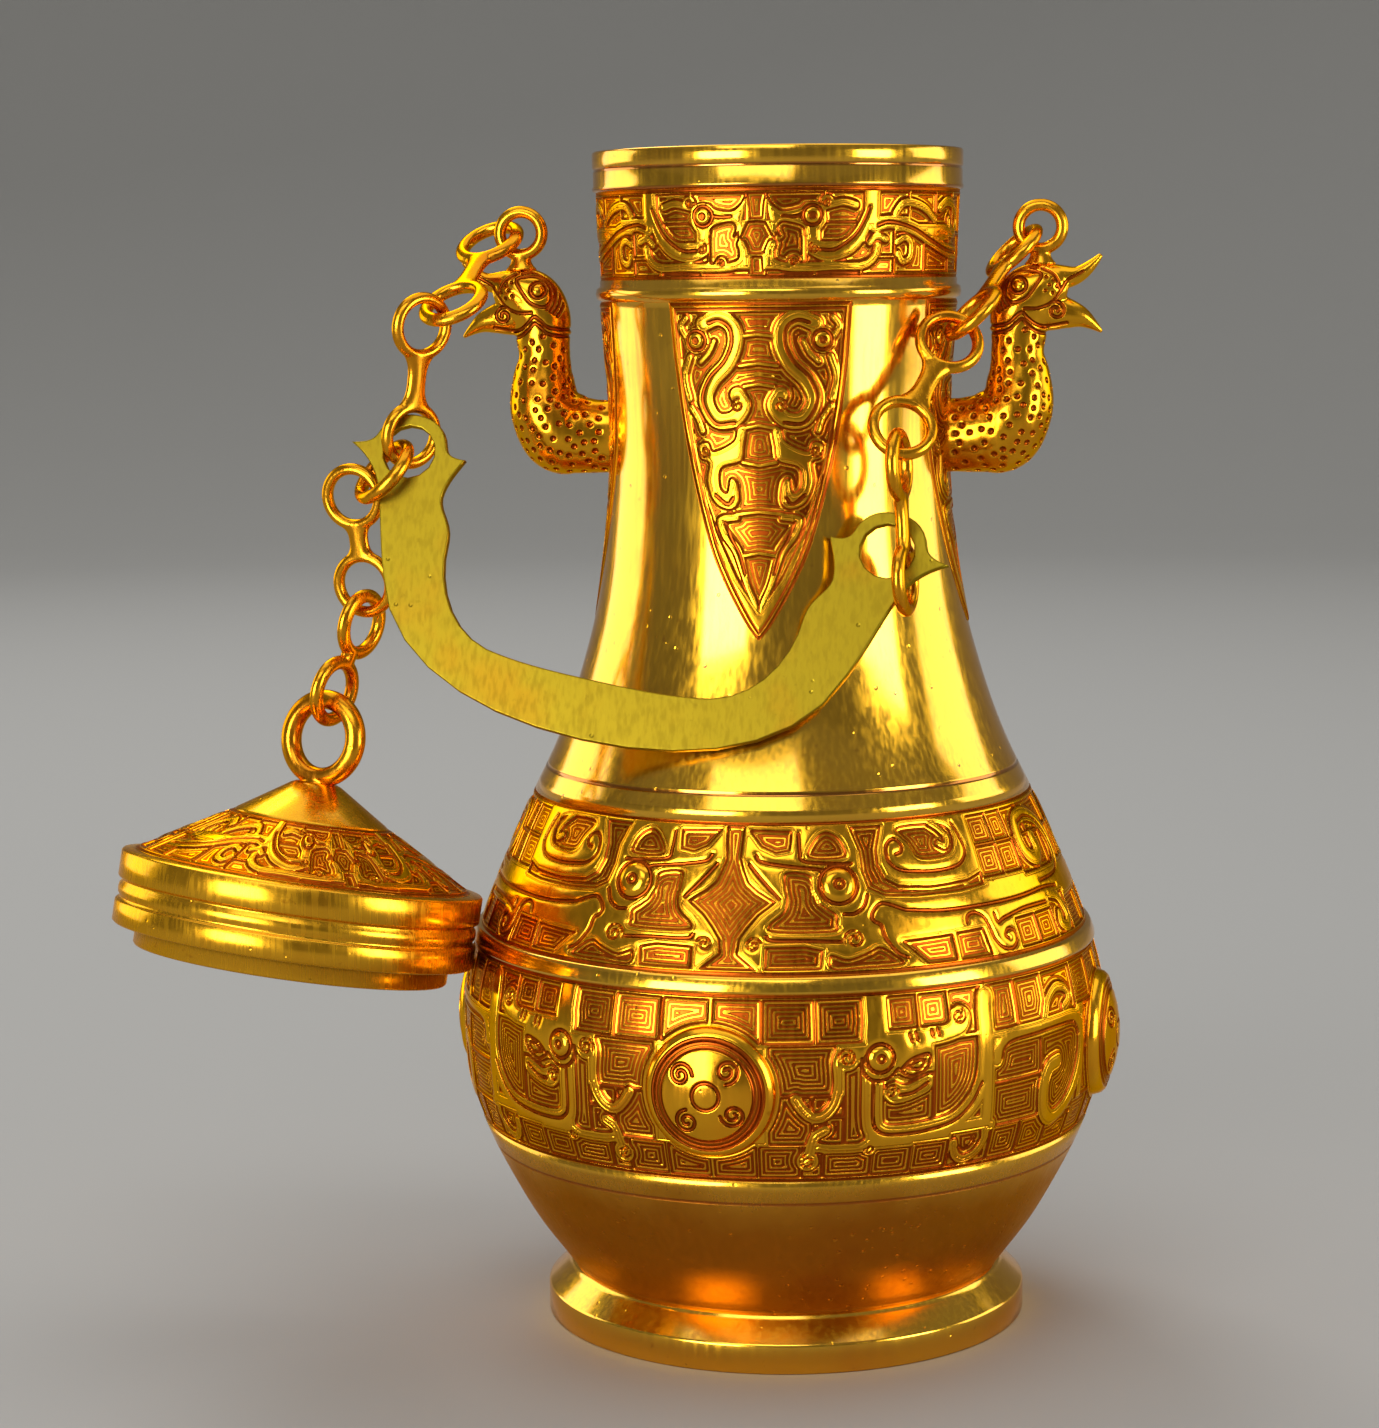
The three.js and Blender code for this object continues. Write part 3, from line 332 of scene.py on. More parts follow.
def metal(name, bright, warm, stain, rough, scratch=0.3, pits=0.35, warmth=0.45, lacquer=0.0,
          ornament=False, low_shade=None, brushed=0.0):
    """Gilt bronze: warm patches, dark flecks, upright rubbing, casting pits and soft lumps.

    Ornament has red threads in its ground, at even depths from the edge, and red in its cut lines.
    The low belly fades by height to a darker red-brown, painted shade standing in for a dark floor reflected
    there, and to a rougher, red-blotched, pocked finish, with red in the scored lines.
    """
    material = bpy.data.materials.new(name)
    material.use_nodes = True
    tree = material.node_tree
    shader = tree.nodes["Principled BSDF"].inputs
    shader["Metallic"].default_value = 1.0
    shader["Specular Tint"].default_value = GOLD_EDGE
    shader["Coat Weight"].default_value = lacquer
    shader["Coat Roughness"].default_value = 0.1
    red = linear(stain)
    place = add(tree, "TexCoord", out="Object")
    cloud = add(tree, "TexNoise", {"Vector": place, "Scale": 1 / (CLOUD_SIZE * MM), "Detail": 4.0})
    patch = add(tree, "MapRange", (cloud, 0.5, 0.78), **EASED)
    patch = add(tree, "Math", (patch, warmth), **TIMES)
    tint = add(tree, "Mix", {0: patch, 6: linear(bright), 7: linear(warm)}, **COLOURS)
    rub_scale = (1 / (RUB_WIDTH * MM), 1 / (RUB_WIDTH * MM), 1 / (RUB_LENGTH * MM))
    rub_place = add(tree, "Mapping", {"Vector": place, "Scale": rub_scale})
    rub = add(tree, "TexNoise", {"Vector": rub_place, "Scale": 1.0, "Detail": 2.0})
    rough_here = add(tree, "MapRange", (rub, 0.3, 0.75, rough - 0.04, rough + 0.08 * scratch + 0.05), **EASED)
    lump = add(tree, "TexNoise", {"Vector": place, "Scale": 1 / (LUMP_SIZE * MM), "Detail": 2.0})
    lump = add(tree, "Math", (lump, 0.05), **TIMES)
    pit = add(tree, "TexVoronoi", {"Vector": place, "Scale": 1 / (PIT_SPACING * MM)}, "Distance")
    pit = add(tree, "MapRange", (pit, 0.1, 0.04), **EASED)
    pit = add(tree, "Math", (pit, 0.25 * pits), **TIMES)
    height = add(tree, "Math", (rub, 0.016 * scratch), **TIMES)
    height = add(tree, "Math", (height, lump), **PLUS)
    height = add(tree, "Math", (height, pit), **LESS)
    if low_shade:
        tall = add(tree, "SeparateXYZ", {"Vector": place}, "Z")
        ragged = add(tree, "Math", (cloud, 0.02), **TIMES)
        ragged = add(tree, "Math", (tall, ragged), **PLUS)
        shade_and_wear_zone = add(tree, "MapRange", (ragged, GILT_ABOVE, SHADE_AND_WEAR_BELOW), **EASED)
        # painted shade: below the belly the colour darkens to red-brown, standing in for a dark floor
        # reflected there
        tint = add(tree, "Mix", {0: shade_and_wear_zone, 6: tint, 7: linear(low_shade)}, **COLOURS)
        blotch = add(tree, "TexNoise", {"Vector": place, "Scale": 1 / (BLOTCH_SIZE * MM), "Detail": 4.0})
        reddened = add(tree, "MapRange", (blotch, 0.54, 0.74, 0.0, 0.6), **EASED)
        reddened = add(tree, "Math", (reddened, shade_and_wear_zone), **TIMES)
        tint = add(tree, "Mix", {0: reddened, 6: tint, 7: red}, **COLOURS)
        coat = add(tree, "MapRange", (ragged, GILT_ABOVE, SHADE_AND_WEAR_BELOW, lacquer, 0.06), **EASED)
        tree.links.new(coat, shader["Coat Weight"])
        for line_height in SCORED:
            away = add(tree, "Math", (tall, line_height * MM), **LESS)
            away = add(tree, "Math", (away,), **UNSIGNED)
            red_line = add(tree, "MapRange", (away, 0.7 * MM, 0.2 * MM, 0.0, 0.75), **EASED)
            tint = add(tree, "Mix", {0: red_line, 6: tint, 7: red}, **COLOURS)
        dull = add(tree, "Math", (shade_and_wear_zone, 0.24), **TIMES)
        rough_here = add(tree, "Math", (rough_here, dull), **PLUS)
        pock = add(tree, "TexVoronoi", {"Vector": place, "Scale": 1 / (POCK_SPACING * MM)}, "Distance")
        pock = add(tree, "MapRange", (pock, 0.2, 0.08, 0.0, 0.16), **EASED)
        pocked = add(tree, "MapRange", (blotch, 0.5, 0.6), **EASED)
        pocked = add(tree, "Math", (pocked, shade_and_wear_zone), **TIMES)
        pock = add(tree, "Math", (pock, pocked), **TIMES)
        height = add(tree, "Math", (height, pock), **LESS)
    fleck = add(tree, "TexNoise", {"Vector": place, "Scale": 1 / (FLECK_SIZE * MM), "Detail": 3.0})
    fleck = add(tree, "MapRange", (fleck, 0.66, 0.76, 0.0, 0.3), **EASED)
    tint = add(tree, "Mix", {0: fleck, 6: tint, 7: red}, **COLOURS)
    if brushed:
        streak = add(tree, "MapRange", (rub, 0.38, 0.68, 0.0, brushed), **EASED)
        tint = add(tree, "Mix", {0: streak, 6: tint, 7: red}, **COLOURS)
    if ornament:
        edge = add(tree, "Attribute", out="Fac", attribute_name="edge")
        mark = add(tree, "Attribute", out="Fac", attribute_name="mark")
        ground = add(tree, "MapRange", (edge, -0.22, 0.03), **EASED)
        wave = add(tree, "Math", (edge, 0.62), **LESS)
        wave = add(tree, "Math", (wave, TURN / THREAD_PITCH), **TIMES)
        wave = add(tree, "Math", (wave,), **COSINE)
        between = add(tree, "MapRange", (wave, -0.3, 0.6, 1.0, 0.0), **EASED)
        low = add(tree, "Math", (ground, between), **TIMES)
        brim = add(tree, "Math", (edge, 0.82), **PLUS)
        brim = add(tree, "Math", (brim,), **UNSIGNED)
        brim = add(tree, "MapRange", (brim, 0.3, 0.08, 0.0, 0.3), **EASED)
        cut = add(tree, "MapRange", (mark, 0.58, 0.24), **EASED)
        low = add(tree, "Math", (low, brim), **MOST)
        low = add(tree, "Math", (low, cut), **MOST)
        warm_ground = add(tree, "Math", (ground, 0.3), **TIMES)
        tint = add(tree, "Mix", {0: warm_ground, 6: tint, 7: linear(warm)}, **COLOURS)
        stained = add(tree, "Math", (low, 0.92), **TIMES)
        tint = add(tree, "Mix", {0: stained, 6: tint, 7: red}, **COLOURS)
        sunk = add(tree, "Math", (low, 0.42), **TIMES)
        height = add(tree, "Math", (height, sunk), **LESS)
        dull = add(tree, "Math", (low, 0.12), **TIMES)
        rough_here = add(tree, "Math", (rough_here, dull), **PLUS)
    tree.links.new(tint, shader["Base Color"])
    tree.links.new(rough_here, shader["Roughness"])
    tree.links.new(add(tree, "Bump", {"Height": height, "Strength": 1.0, "Distance": MM}), shader["Normal"])
    return material


# Fire-gilt bronze, polished: a bright yellow mirror under a thin clear coat
GILT = metal("polished_gilt", "EFB428", "E39A1C", "9A4410", 0.17, lacquer=0.6)
# The same on the wall, darker red-brown below the belly: painted shade for a dark floor reflected there, with
# red blotches and pocks
WALL_GILT = metal("wall_gilt", "EFB428", "E39A1C", "9A4410", 0.17, lacquer=0.6, low_shade="B47018")
# Fire-gilt casting: orange gold with red in its sunk lines
RELIEF = metal("relief_gilt", "F2AE24", "E88C1C", "94300A", 0.19, 0.2, 0.2, 0.6, ornament=True)
# The same on the birds, warmer and a little duller
BIRD = metal("bird_gilt", "EBA720", "D98218", "8E340A", 0.2, 0.2, 0.25, 0.8, ornament=True)
# Handled gilt bronze: reddish, with a soft shine
CHAIN = metal("chain_gilt", "E29A1E", "D07618", "8E3A0A", 0.24, 0.2, 0.3, 0.85)
# Satin gilt bronze: a broad, quiet shine on the lid
LID_GILT = metal("lid_gilt", "E4A622", "D28018", "8E3A0A", 0.25, warmth=0.8, lacquer=0.12)
# Brushed brass sheet: greenish yellow, dull, with fine streaks
BRASS = metal("handle_brass", "927C1A", "9E7016", "6A5212", 0.4, 1.0, 0.5, 0.7, brushed=0.2)

# Ornament, right half of each motif, in millimetres from its middle and its foot

MASK = {
    "cells": [
        ("middle", [(0, 36.4), (2.4, 36.4), (2, 31), (1.8, 28.5), (2.8, 25.5), (4, 22.6), (6.2, 20.6),
                    (10.6, 17.8), (6.6, 14.6), (4.2, 11.6), (2.4, 8.8), (2, 5.2), (4.6, 2.9), (6.2, 1.4),
                    (0, 1.4)]),
        ("flat", [(3.6, 35.6), (14.8, 35.2), (14.2, 30.4), (10.6, 29.8), (7, 31.4)]),
        ("soft", [(18.9, 28.7), (20.6, 33), (23.5, 34.8), (26.4, 33.6), (28, 31), (27.6, 28.4)]),
        ("soft", [(13, 24.8), (18, 24.6), (20.3, 22.7), (21, 20.2), (21, 18), (23, 15.9), (24.8, 14.4),
                  (24.6, 12), (24.2, 10.6), (17, 10.4), (9.6, 10.8), (9.4, 12.6), (12.4, 15.4), (13.2, 18.4),
                  (12.8, 21)]),
        ("flat", [(30.2, 35.8), (38.8, 35.8), (36.5, 30), (36.3, 26), (37.6, 22.6), (41, 20.6), (50, 19.8),
                  (61, 20.2), (65.8, 21.6), (65.8, 18.6), (58, 18), (45, 18), (37, 18.6), (33.2, 20.6),
                  (32, 25), (32, 30)]),
        ("soft", [(43.2, 34.9), (53.6, 35.2), (58.8, 33.8), (59.6, 30.4), (57.4, 27.4), (52, 26.6),
                  (47.6, 27.2), (45.6, 30.6)]),
        ("flat", [(8.4, 6.8), (17, 7), (21, 6), (20.4, 1.6), (8.2, 1.5)]),
        ("soft", [(22.8, 4.8), (26.5, 3.6), (31, 5), (34, 6.2), (37, 4.4), (39, 1.8), (30, 1.5), (23, 1.5)]),
        ("flat", [(39.6, 7.2), (52.6, 7.7), (52.8, 1.3), (45.2, 1.3)]),
        ("flat", [(53.8, 7.8), (61.8, 8), (62.8, 1.3), (53.8, 1.3)]),
    ],
    "tiles": [
        (66.4, 74.4, 28.3, 35.8), (74.9, 81.6, 28.3, 35.8), (66.4, 74.4, 20, 27.8), (74.9, 82.4, 20, 27.8),
        (82.1, 91.6, 28.3, 35.8), (82.9, 92, 18.8, 27.8), (92.5, 100.4, 18.8, 27.8),
        (92.1, 110.4, 28.3, 35.8),
        (100.9, 110.4, 18.8, 27.8), (72.8, 80.6, 1.3, 8.8), (81.1, 89.2, 1.3, 8.8), (89.7, 99.4, 1.3, 11.4),
        (99.9, 110.4, 1.3, 9.6),
    ],
    "bars": [
        (0.9, [(53.4, 35.6), (56, 33.6), (57.6, 31.2), (56.6, 29.2), (54.8, 30)]),
        (2.1, [(92, 15.6), (100, 16.2), (105, 19), (105.6, 24.6), (101.6, 30), (94.4, 32.8), (88, 32),
               (86, 28.4), (87.2, 23.6), (91, 21.6), (94.6, 23.4), (93.6, 26.6)]),
        (1.6, [(90.4, 12.4), (94.8, 11), (97, 8), (97.6, 4.6), (95.4, 2.8), (92.6, 4), (93.4, 6.2)]),
    ],
    "lines": [
        [(5.6, 29.2), (7, 27.6), (12.8, 26.6), (19.8, 25.8), (22, 25.4)],
        [(4, 27), (6.5, 24), (9.2, 21), (11.4, 18.6)],
        [(26.6, 14.6), (29, 14.6), (31.4, 16.2), (32.6, 19)],
        [(41.9, 14.6), (36, 16.7), (33.2, 14.4), (33.4, 12.6), (35, 11.4), (35.7, 8.3), (38.1, 4.6),
         (40.4, 3.2)],
        [(41.9, 14.6), (52, 13.6), (64.7, 13.5), (76, 13.6), (89, 14), (97, 13.2)],
        [(8.5, 9.6), (9.7, 8.6), (17.4, 8.4), (25.2, 8)],
        [(41.6, 28.4), (43, 28.8), (43.6, 30.2), (42.6, 31.8), (40.8, 32), (39.2, 30.2), (39.2, 27),
         (41.9, 24.5), (47.6, 23.6), (53.5, 23.4), (59.4, 24.2), (62.4, 27.2), (61.8, 31.4), (60.6, 34.6)],
        [(16.4, 34.6), (16.6, 30), (17.4, 27.8), (24, 27), (29.4, 26.8)],
        [(57.4, 9.8), (57.9, 11.4), (60.2, 12), (62.6, 10.6), (63.6, 8), (64.4, 4.8), (66.4, 2.4),
         (69.4, 1.8), (71.4, 3.4), (71.4, 5.8), (69.4, 6.6), (68, 5.2), (69, 4.2)],
        [(66.2, 11), (66.8, 8.6), (69.4, 9.4), (78, 10.6), (88, 10.4)],
        [(89, 15.8), (100, 16.4), (104.6, 19.2), (105, 24.6), (101.2, 29.6), (94.4, 32.2), (88.6, 31.4)],
    ],
    "spirals": [(28.4, 8.4, 2.5, 200, 1.6, -1), (5.6, 7.4, 1.9, 20, 1.4, 1)],
    "eyes": [(25.7, 21.8, 4.7)],
}

DRAGON = {
    "cells": [],
    "tiles": [
        (0.4, 12.2, 34.9, 45.3), (12.7, 25, 34.9, 45.3), (25.5, 36.8, 34.9, 45.3), (43, 50.7, 37.4, 45.3),
        (51.2, 59.2, 37.4, 45.3), (59.7, 69.6, 34.6, 45.3), (71, 80.4, 34.2, 45.3), (80.9, 91, 34.2, 45.3),
        (91.5, 106, 34.2, 45.3), (106.5, 117.4, 34.9, 45.3), (117.9, 128.4, 34.9, 45.3),
        (14, 30, 22.6, 34.4), (32.2, 37, 10.4, 30), (41, 54.2, 13.6, 26.6), (54.7, 67.6, 14, 33.6),
        (72, 88.4, 10.4, 20.6), (72, 88.4, 21.1, 31.4), (88.9, 107.4, 8, 31.6),
        (110.4, 119.4, 23.2, 34.4), (119.9, 128.4, 23.2, 34.4),
        (14, 24, 10.4, 22.1), (24.5, 31.7, 10.4, 17), (24.5, 31.7, 17.5, 22.1),
        (110.4, 119.4, 11, 22.7), (119.9, 128.4, 11, 22.7),
        (0.4, 11, 1.2, 9.9), (11.5, 21.4, 1.2, 9.9), (21.9, 26.8, 1.2, 9.9), (27.3, 38.8, 1.2, 7.8),
        (39.3, 49, 1.2, 8.2), (49.5, 59.4, 1.2, 8.8), (59.9, 72, 1.2, 10), (72.5, 82, 1.2, 9.9),
        (82.5, 93, 1.2, 9.9), (93.5, 105, 1.2, 7.5), (105.5, 117, 1.2, 10.5), (117.5, 128.4, 1.2, 10.5),
    ],
    "solids": [
        [(36.8, 33), (36.4, 36.6), (37, 40), (38.6, 42.4), (42.4, 43.2), (41, 39.6), (41.6, 37.4),
         (44, 36.9),
         (54, 37.2), (58.6, 37.8), (59.6, 40.4), (62.2, 41.8), (65, 40), (65.2, 36.8), (63, 34.2),
         (58.5, 33), (53, 32.4), (48.6, 31.4), (45.2, 29.6), (42.6, 26.6), (38, 27.4)],
        [(44.8, 27.6), (48.4, 30.6), (54, 31.6), (53.2, 27.4), (48.6, 25.4)],
        [(43.8, 25), (47.2, 24), (53.4, 26), (53.6, 22.4), (50, 20.6), (46, 19.6), (43, 19.8), (41.2, 22.4)],
    ],
    "bars": [
        (2.7, [(38.7, 27.4), (38.7, 16), (40.2, 12.8), (44, 11.6), (52, 11.8), (60, 13.2), (65.2, 17),
               (68.4, 22), (69.4, 28), (69.6, 38), (70.4, 42.6)]),
        (1.4, [(31.4, 33), (30.5, 30.4), (30.7, 25), (29.6, 20.4), (27.2, 17.6), (24.4, 17.2), (22, 19.2),
               (20.4, 21.6)]),
        (2.2, [(72.6, 27), (73.6, 30.4), (77.4, 32), (86.2, 32.2), (96.6, 32.4), (104.6, 32), (108.4, 28),
               (107.8, 20), (103, 12), (96, 8.2), (91, 11), (89.9, 17), (92, 21.6), (95.4, 22.6)]),
        (1.3, [(90.6, 34.6), (92.6, 38.4), (97, 40.8), (101.4, 39.8), (102.4, 37), (99.8, 35.6)]),
        (1.3, [(23.3, 6), (24, 9.6), (25, 12.4), (27.4, 14)]),
        (1.3, [(25.6, 9.6), (29.4, 9.1), (35.4, 9.1), (38.4, 10.6)]),
        (1.2, [(60.8, 7.6), (61.8, 4.4), (64.4, 2.6), (68, 3.8), (70, 7.2), (69.8, 10)]),
    ],
    "discs": [(0, 22.9, 16.8), (128.8, 22.9, 16.8), (40.7, 30.7, 5), (32.7, 31.2, 3.1), (23.3, 5.9, 2.8),
              (38.3, 8.6, 1.9), (71.4, 11, 1.7)],
    "lines": [
        [(48.2, 36.2), (48.8, 34.2)], [(49.8, 36.4), (50.4, 34.4)], [(54, 36.6), (54.5, 34.8)],
        [(55.6, 36.8), (56.1, 35)],
        [(38.9, 25), (38.9, 16), (40.4, 13), (44, 11.9), (52, 12.1), (59.8, 13.6), (64.9, 17.3), (68, 22.2)],
        [(45.6, 27.6), (48.6, 30), (53.2, 30.8), (52.4, 27.6), (48.6, 26), (45.6, 27.6)],
        [(47.4, 28), (49.6, 29.4), (51.8, 29.6), (50.6, 27.6), (47.4, 28)],
        [(45.6, 21.6), (49, 22), (52.6, 24)], [(36.2, 31), (36.6, 27.6), (39, 25.6), (42.6, 25.8), (45, 28)],
        [(74.4, 27), (75.2, 29.4), (78, 30.8), (86.2, 31.2), (96.6, 31.4), (103.8, 30.8), (106.6, 27.6)],
        [(62.4, 6.4), (64.8, 5.2), (67.4, 6.6), (66.4, 8.6)],
    ],
    "spirals": [(62, 39, 2.1, 60, 1.5, -1), (32.7, 31.3, 2.4, 200, 1.6, -1), (43.4, 22.6, 1.8, 0, 1.4, 1),
                (38.3, 8.6, 1.3, 180, 1.2, 1), (23.3, 5.9, 2, 90, 1.4, 1)],
    "eyes": [(40.7, 30.8, 3.4)],
}

CROWN = {
    "cells": [
        ("middle", [(0, 20.6), (2.4, 20.6), (1.8, 17.5), (1.6, 14.4), (0, 14.4)]),
        ("middle", [(0, 13.8), (2.2, 13.6), (4.1, 9.9), (2.2, 6.2), (0, 6)]),
        ("middle", [(0, 5.4), (1.3, 5.4), (1.5, 1.2), (0, 1.2)]),
    ],
    "tiles": [
        (2.6, 16.4, 14.2, 20.6), (16.9, 27, 13.4, 20.6), (31.4, 40.8, 14.9, 20.6), (41.3, 52, 13, 20.6),
        (52.5, 62, 13, 20.6), (62.5, 71.9, 11, 20.6), (4.4, 12, 3.6, 13.7), (15.6, 26.4, 9, 13.4),
        (27.4, 36, 5.4, 12), (36.5, 47, 1.2, 11), (47.5, 60, 1.2, 9), (60.5, 71.9, 1.2, 10.5),
        (2, 14, 0.9, 2.2), (14.5, 26, 0.9, 2.2), (26.5, 36, 0.9, 4.9), (12.5, 29, 4, 8.5),
    ],
    "solids": [
        [(2.6, 19.4), (3.9, 17.7), (6.4, 16.2), (10.5, 16.9), (11.9, 17.9), (14.7, 17.7), (16.4, 16.3),
         (17.1, 13.8), (15.4, 11.1), (13.3, 9.4), (11.9, 10.2), (11.4, 12.3), (8.4, 13.4), (6, 13.6),
         (5, 12.1), (5.7, 10.3), (4.2, 11.8), (3, 15.2)],
        [(30.9, 20), (28.2, 18.4), (26.4, 15.2), (24.6, 12.1), (22, 9.6), (18.1, 8.6), (14.7, 8.6),
         (12.7, 7.7), (13.3, 5.5), (17.4, 4), (23, 5.3), (26.9, 8.6), (29.4, 13.5)],
    ],
    "bars": [
        (1, [(16.6, 17.2), (19, 17.8), (21.6, 18.2), (24.6, 17.4)]),
        (1.1, [(3.8, 8.3), (3, 6.2), (3.9, 4), (7, 2.9), (12.6, 2.7), (19.5, 3), (26.4, 3), (29.9, 4.9),
               (30.9, 7.6)]),
        (1.7, [(30, 12.4), (34.7, 13.4), (42.4, 11.9), (50, 9), (58, 6.8), (66, 6)]),
        (0.9, [(37, 8.6), (39.6, 9.6), (41.8, 8), (41.4, 4.8), (38.8, 3.9), (37.4, 5.8)]),
        (0.9, [(28.6, 8.4), (30.6, 10), (33.4, 9.2)]),
        (1.1, [(36.4, 15.6), (38.6, 17.8), (42, 18), (47, 16.6), (51.4, 14)]),
        (1.3, [(54, 17), (58, 18.6), (63, 17.6), (65.6, 14), (64, 11), (60.4, 11.4), (59.8, 14)]),
    ],
    "discs": [(13.5, 15.1, 3), (17.2, 18.3, 1.7), (9, 3.9, 1.5), (14, 7.3, 1.9)],
    "lines": [
        [(28.4, 17), (26.8, 13.5), (24.2, 10), (19.4, 7), (15.6, 6.9)],
        [(31, 12.6), (34.7, 13.4), (42.4, 11.9), (50, 9), (58, 6.8), (66, 6)],
        [(6.4, 15), (9, 14.8), (11, 15.2)],
    ],
    "spirals": [(17.2, 18.3, 1.2, 180, 1.2, 1), (9, 3.9, 1, 0, 1.2, 1), (14, 7.3, 1.3, 120, 1.3, 1)],
    "eyes": [(13.5, 15.1, 2.4)],
}

LEAF = {
    "cells": [
        ("middle", [(0, 2.6), (21.6, 2.6), (21.2, 11), (20.2, 22), (18, 34), (14.6, 46), (10.4, 57),
                    (5.6, 67), (0, 75)]),
    ],
    "solids": [
        [(3.2, 30.4), (5.2, 30.8), (6.4, 34), (11.6, 36.4), (13, 34.2), (15.4, 34.8), (15, 38), (12.8, 39.2),
         (13.2, 44), (11.2, 48.8), (7.4, 50.4), (5.2, 48.6), (5.6, 44), (7.2, 43), (8, 46.4), (9.8, 45.4),
         (10.2, 42), (9, 40), (4.6, 38.6), (3.8, 35)],
        [(6, 51.4), (10.6, 52.6), (9.4, 57), (6.6, 60.8), (5, 65), (3, 70.4), (0.3, 75.6), (0.3, 73),
         (2.2, 68.4), (3.8, 62), (4.8, 59.4), (8, 55), (8, 53.6), (5, 53)],
    ],
    "bars": [
        (2, [(13.8, 5.4), (9.6, 3.9), (6.2, 6), (5.6, 10.2), (7.6, 15), (11.6, 19.2), (13.4, 24),
             (10.8, 28.6), (6.4, 28.6), (3.9, 25.4), (5.2, 22.6)]),
        (0.8, [(18.4, 4), (19.8, 6), (18.6, 8.4)]),
        (0.9, [(17.6, 13.4), (19, 18.4), (17.8, 23.6)]),
        (0.8, [(17.4, 25.6), (15.4, 28.6), (14.4, 31.4)]),
        (0.7, [(11, 9.6), (12.4, 12.4), (14.6, 14.6)]),
        (0.5, [(0, 8), (3.4, 8.4)]), (0.5, [(0, 15), (4.6, 15.6)]), (0.5, [(0, 20), (3.6, 20.6)]),
        (0.5, [(0, 30), (3, 30.6)]), (0.5, [(0, 39.8), (4, 39)]), (0.5, [(0, 51), (5.6, 51.6)]),
        (0.5, [(0, 61), (3.6, 61.6)]),
    ],
    "discs": [(15.6, 9.4, 3.1)],
    "lines": [
        [(12.4, 5.2), (9.6, 4.6), (7, 6.4), (6.6, 10.2), (8.6, 14.6), (12.4, 18.6), (14.2, 24), (11, 29.4),
         (6, 29.4)],
        [(11, 47), (8, 49.2), (6.4, 47.6)], [(8.6, 53.6), (6.8, 57.8), (5, 61), (3.6, 66)],
    ],
    "spirals": [(13.8, 36.4, 1.5, 0, 1.3, 1), (5.2, 25.2, 1.7, 260, 1.3, 1)],
    "eyes": [(15.6, 9.4, 2.4)],
}

# Bottle, foot and bands

WALL = [(55.4, 13.2), (58.6, 17.5), (66.4, 28.4), (74.9, 44), (79.6, 55), (82.5, 65), (83.4, 78), (82.9, 88),
        (80.6, 98), (77, 108), (72.6, 119), (68, 130), (63, 140), (58.2, 150), (54.3, 160), (50.8, 171),
        (48.1, 181), (46.1, 191), (44.7, 202), (43.4, 217), (43.1, 228), (43.5, 240), (44.4, 253),
        (45.1, 263)]
WALL_LINE = curve_through(WALL, 10)
WALL_THICKNESS = 4
BAND_BED = 1.1
BAND_SINK = 0.2


def wall_radius(z):
    """Outer radius of the wall at a height, read off its outline."""
    return np.interp(z, WALL_LINE[:, 1], WALL_LINE[:, 0])


def wall_span(low, high, sink=0.0):
    """Outline of the wall between two heights, a point about every 1.5 mm, set back by sink."""
    z = np.linspace(low, high, max(3, int((high - low) / 1.5)))
    return list(zip(wall_radius(z) - sink, z))


def scored(z, depth=0.35, wide=0.4):
    """A fine engraved line round the wall: a notch in its outline."""
    return [(wall_radius(z - wide), z - wide), (wall_radius(z) - depth, z), (wall_radius(z + wide), z + wide)]


# From the floor up the belly, with beds for the two bands and the raised belt between them
outside = [(0, 13), (50, 13), (55.6, 13)]
outside += wall_span(13.3, 46.4) + scored(SCORED[0], 0.45) + wall_span(47.6, 53.2)
outside += wall_span(53.4, 99.2, BAND_BED)
outside += [(wall_radius(at) + stand, z) for at, stand, z in (
    (99.4, 0, 99.4), (99.5, 0.6, 99.6), (100.2, 0.8, 100.2), (102.6, 0.8, 102.6), (103.3, 0.6, 103.3),
    (103.6, 0, 103.5))]
outside += wall_span(103.7, 138.0, BAND_BED)
outside += wall_span(138.2, 143.8) + scored(SCORED[1]) + wall_span(145.2, 262.4)
# The bead under the mouth band, the band's bed and the mouth's collar
outside += [(45.2, 262.7), (46.2, 263.2), (46.5, 264.5), (46.2, 265.8), (45.4, 266.3), (45.4, 267.8)]
outside += [(44.5, 268.1), (44.6, 275), (44.9, 282), (45.3, 289.6), (46.4, 289.9)]
outside += [(47.0, 290.2), (47.05, 290.9), (46.8, 291.4), (46.8, 294.9), (46.5, 295.3), (46.8, 295.7),
            (47, 296), (47, 299.6), (46.7, 300), (42.4, 300), (42, 299.5), (41.6, 292), (41.2, 268)]
# Back down the inside to the floor of the well
outside += [(wall_radius(z) - WALL_THICKNESS, z) for z in np.linspace(262, 24, 90)]
outside += [(54, 18.2), (49, 17), (0, 17)]
turned("bottle_wall", outside, 288, WALL_GILT, "bottle", ["vessel_body"])

foot = [(46, 13.2), (46, 0.4), (46.4, 0), (62, 0), (62.4, 0.4), (62.4, 7), (62.3, 7.35), (62, 7.7),
        (57.2, 12.1), (56.5, 12.9), (56.2, 13.6), (52, 13.6)]
turned_ring("foot", foot, 240, GILT, "bottle", ["foot_ring"])
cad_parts["base_plate"].data.materials.clear()
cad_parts["base_plate"].data.materials.append(GILT)

CROWN_SIZE = (72.2, 21.8)
band("dragon_band", wall_span(53.3, 99.4, BAND_SINK), DRAGON, 128.8, 46.6, -6, 240, 94, "bottle")
band("mask_band", wall_span(103.5, 138.2, BAND_SINK), MASK, 111.2, 37.5, -3.5, 250, 86, "bottle")
band("crown_band", [(45.2, 267.9), (45.5, 275), (45.8, 282), (46.2, 289.8)], CROWN, *CROWN_SIZE, 0,
     190, 58, "bottle")

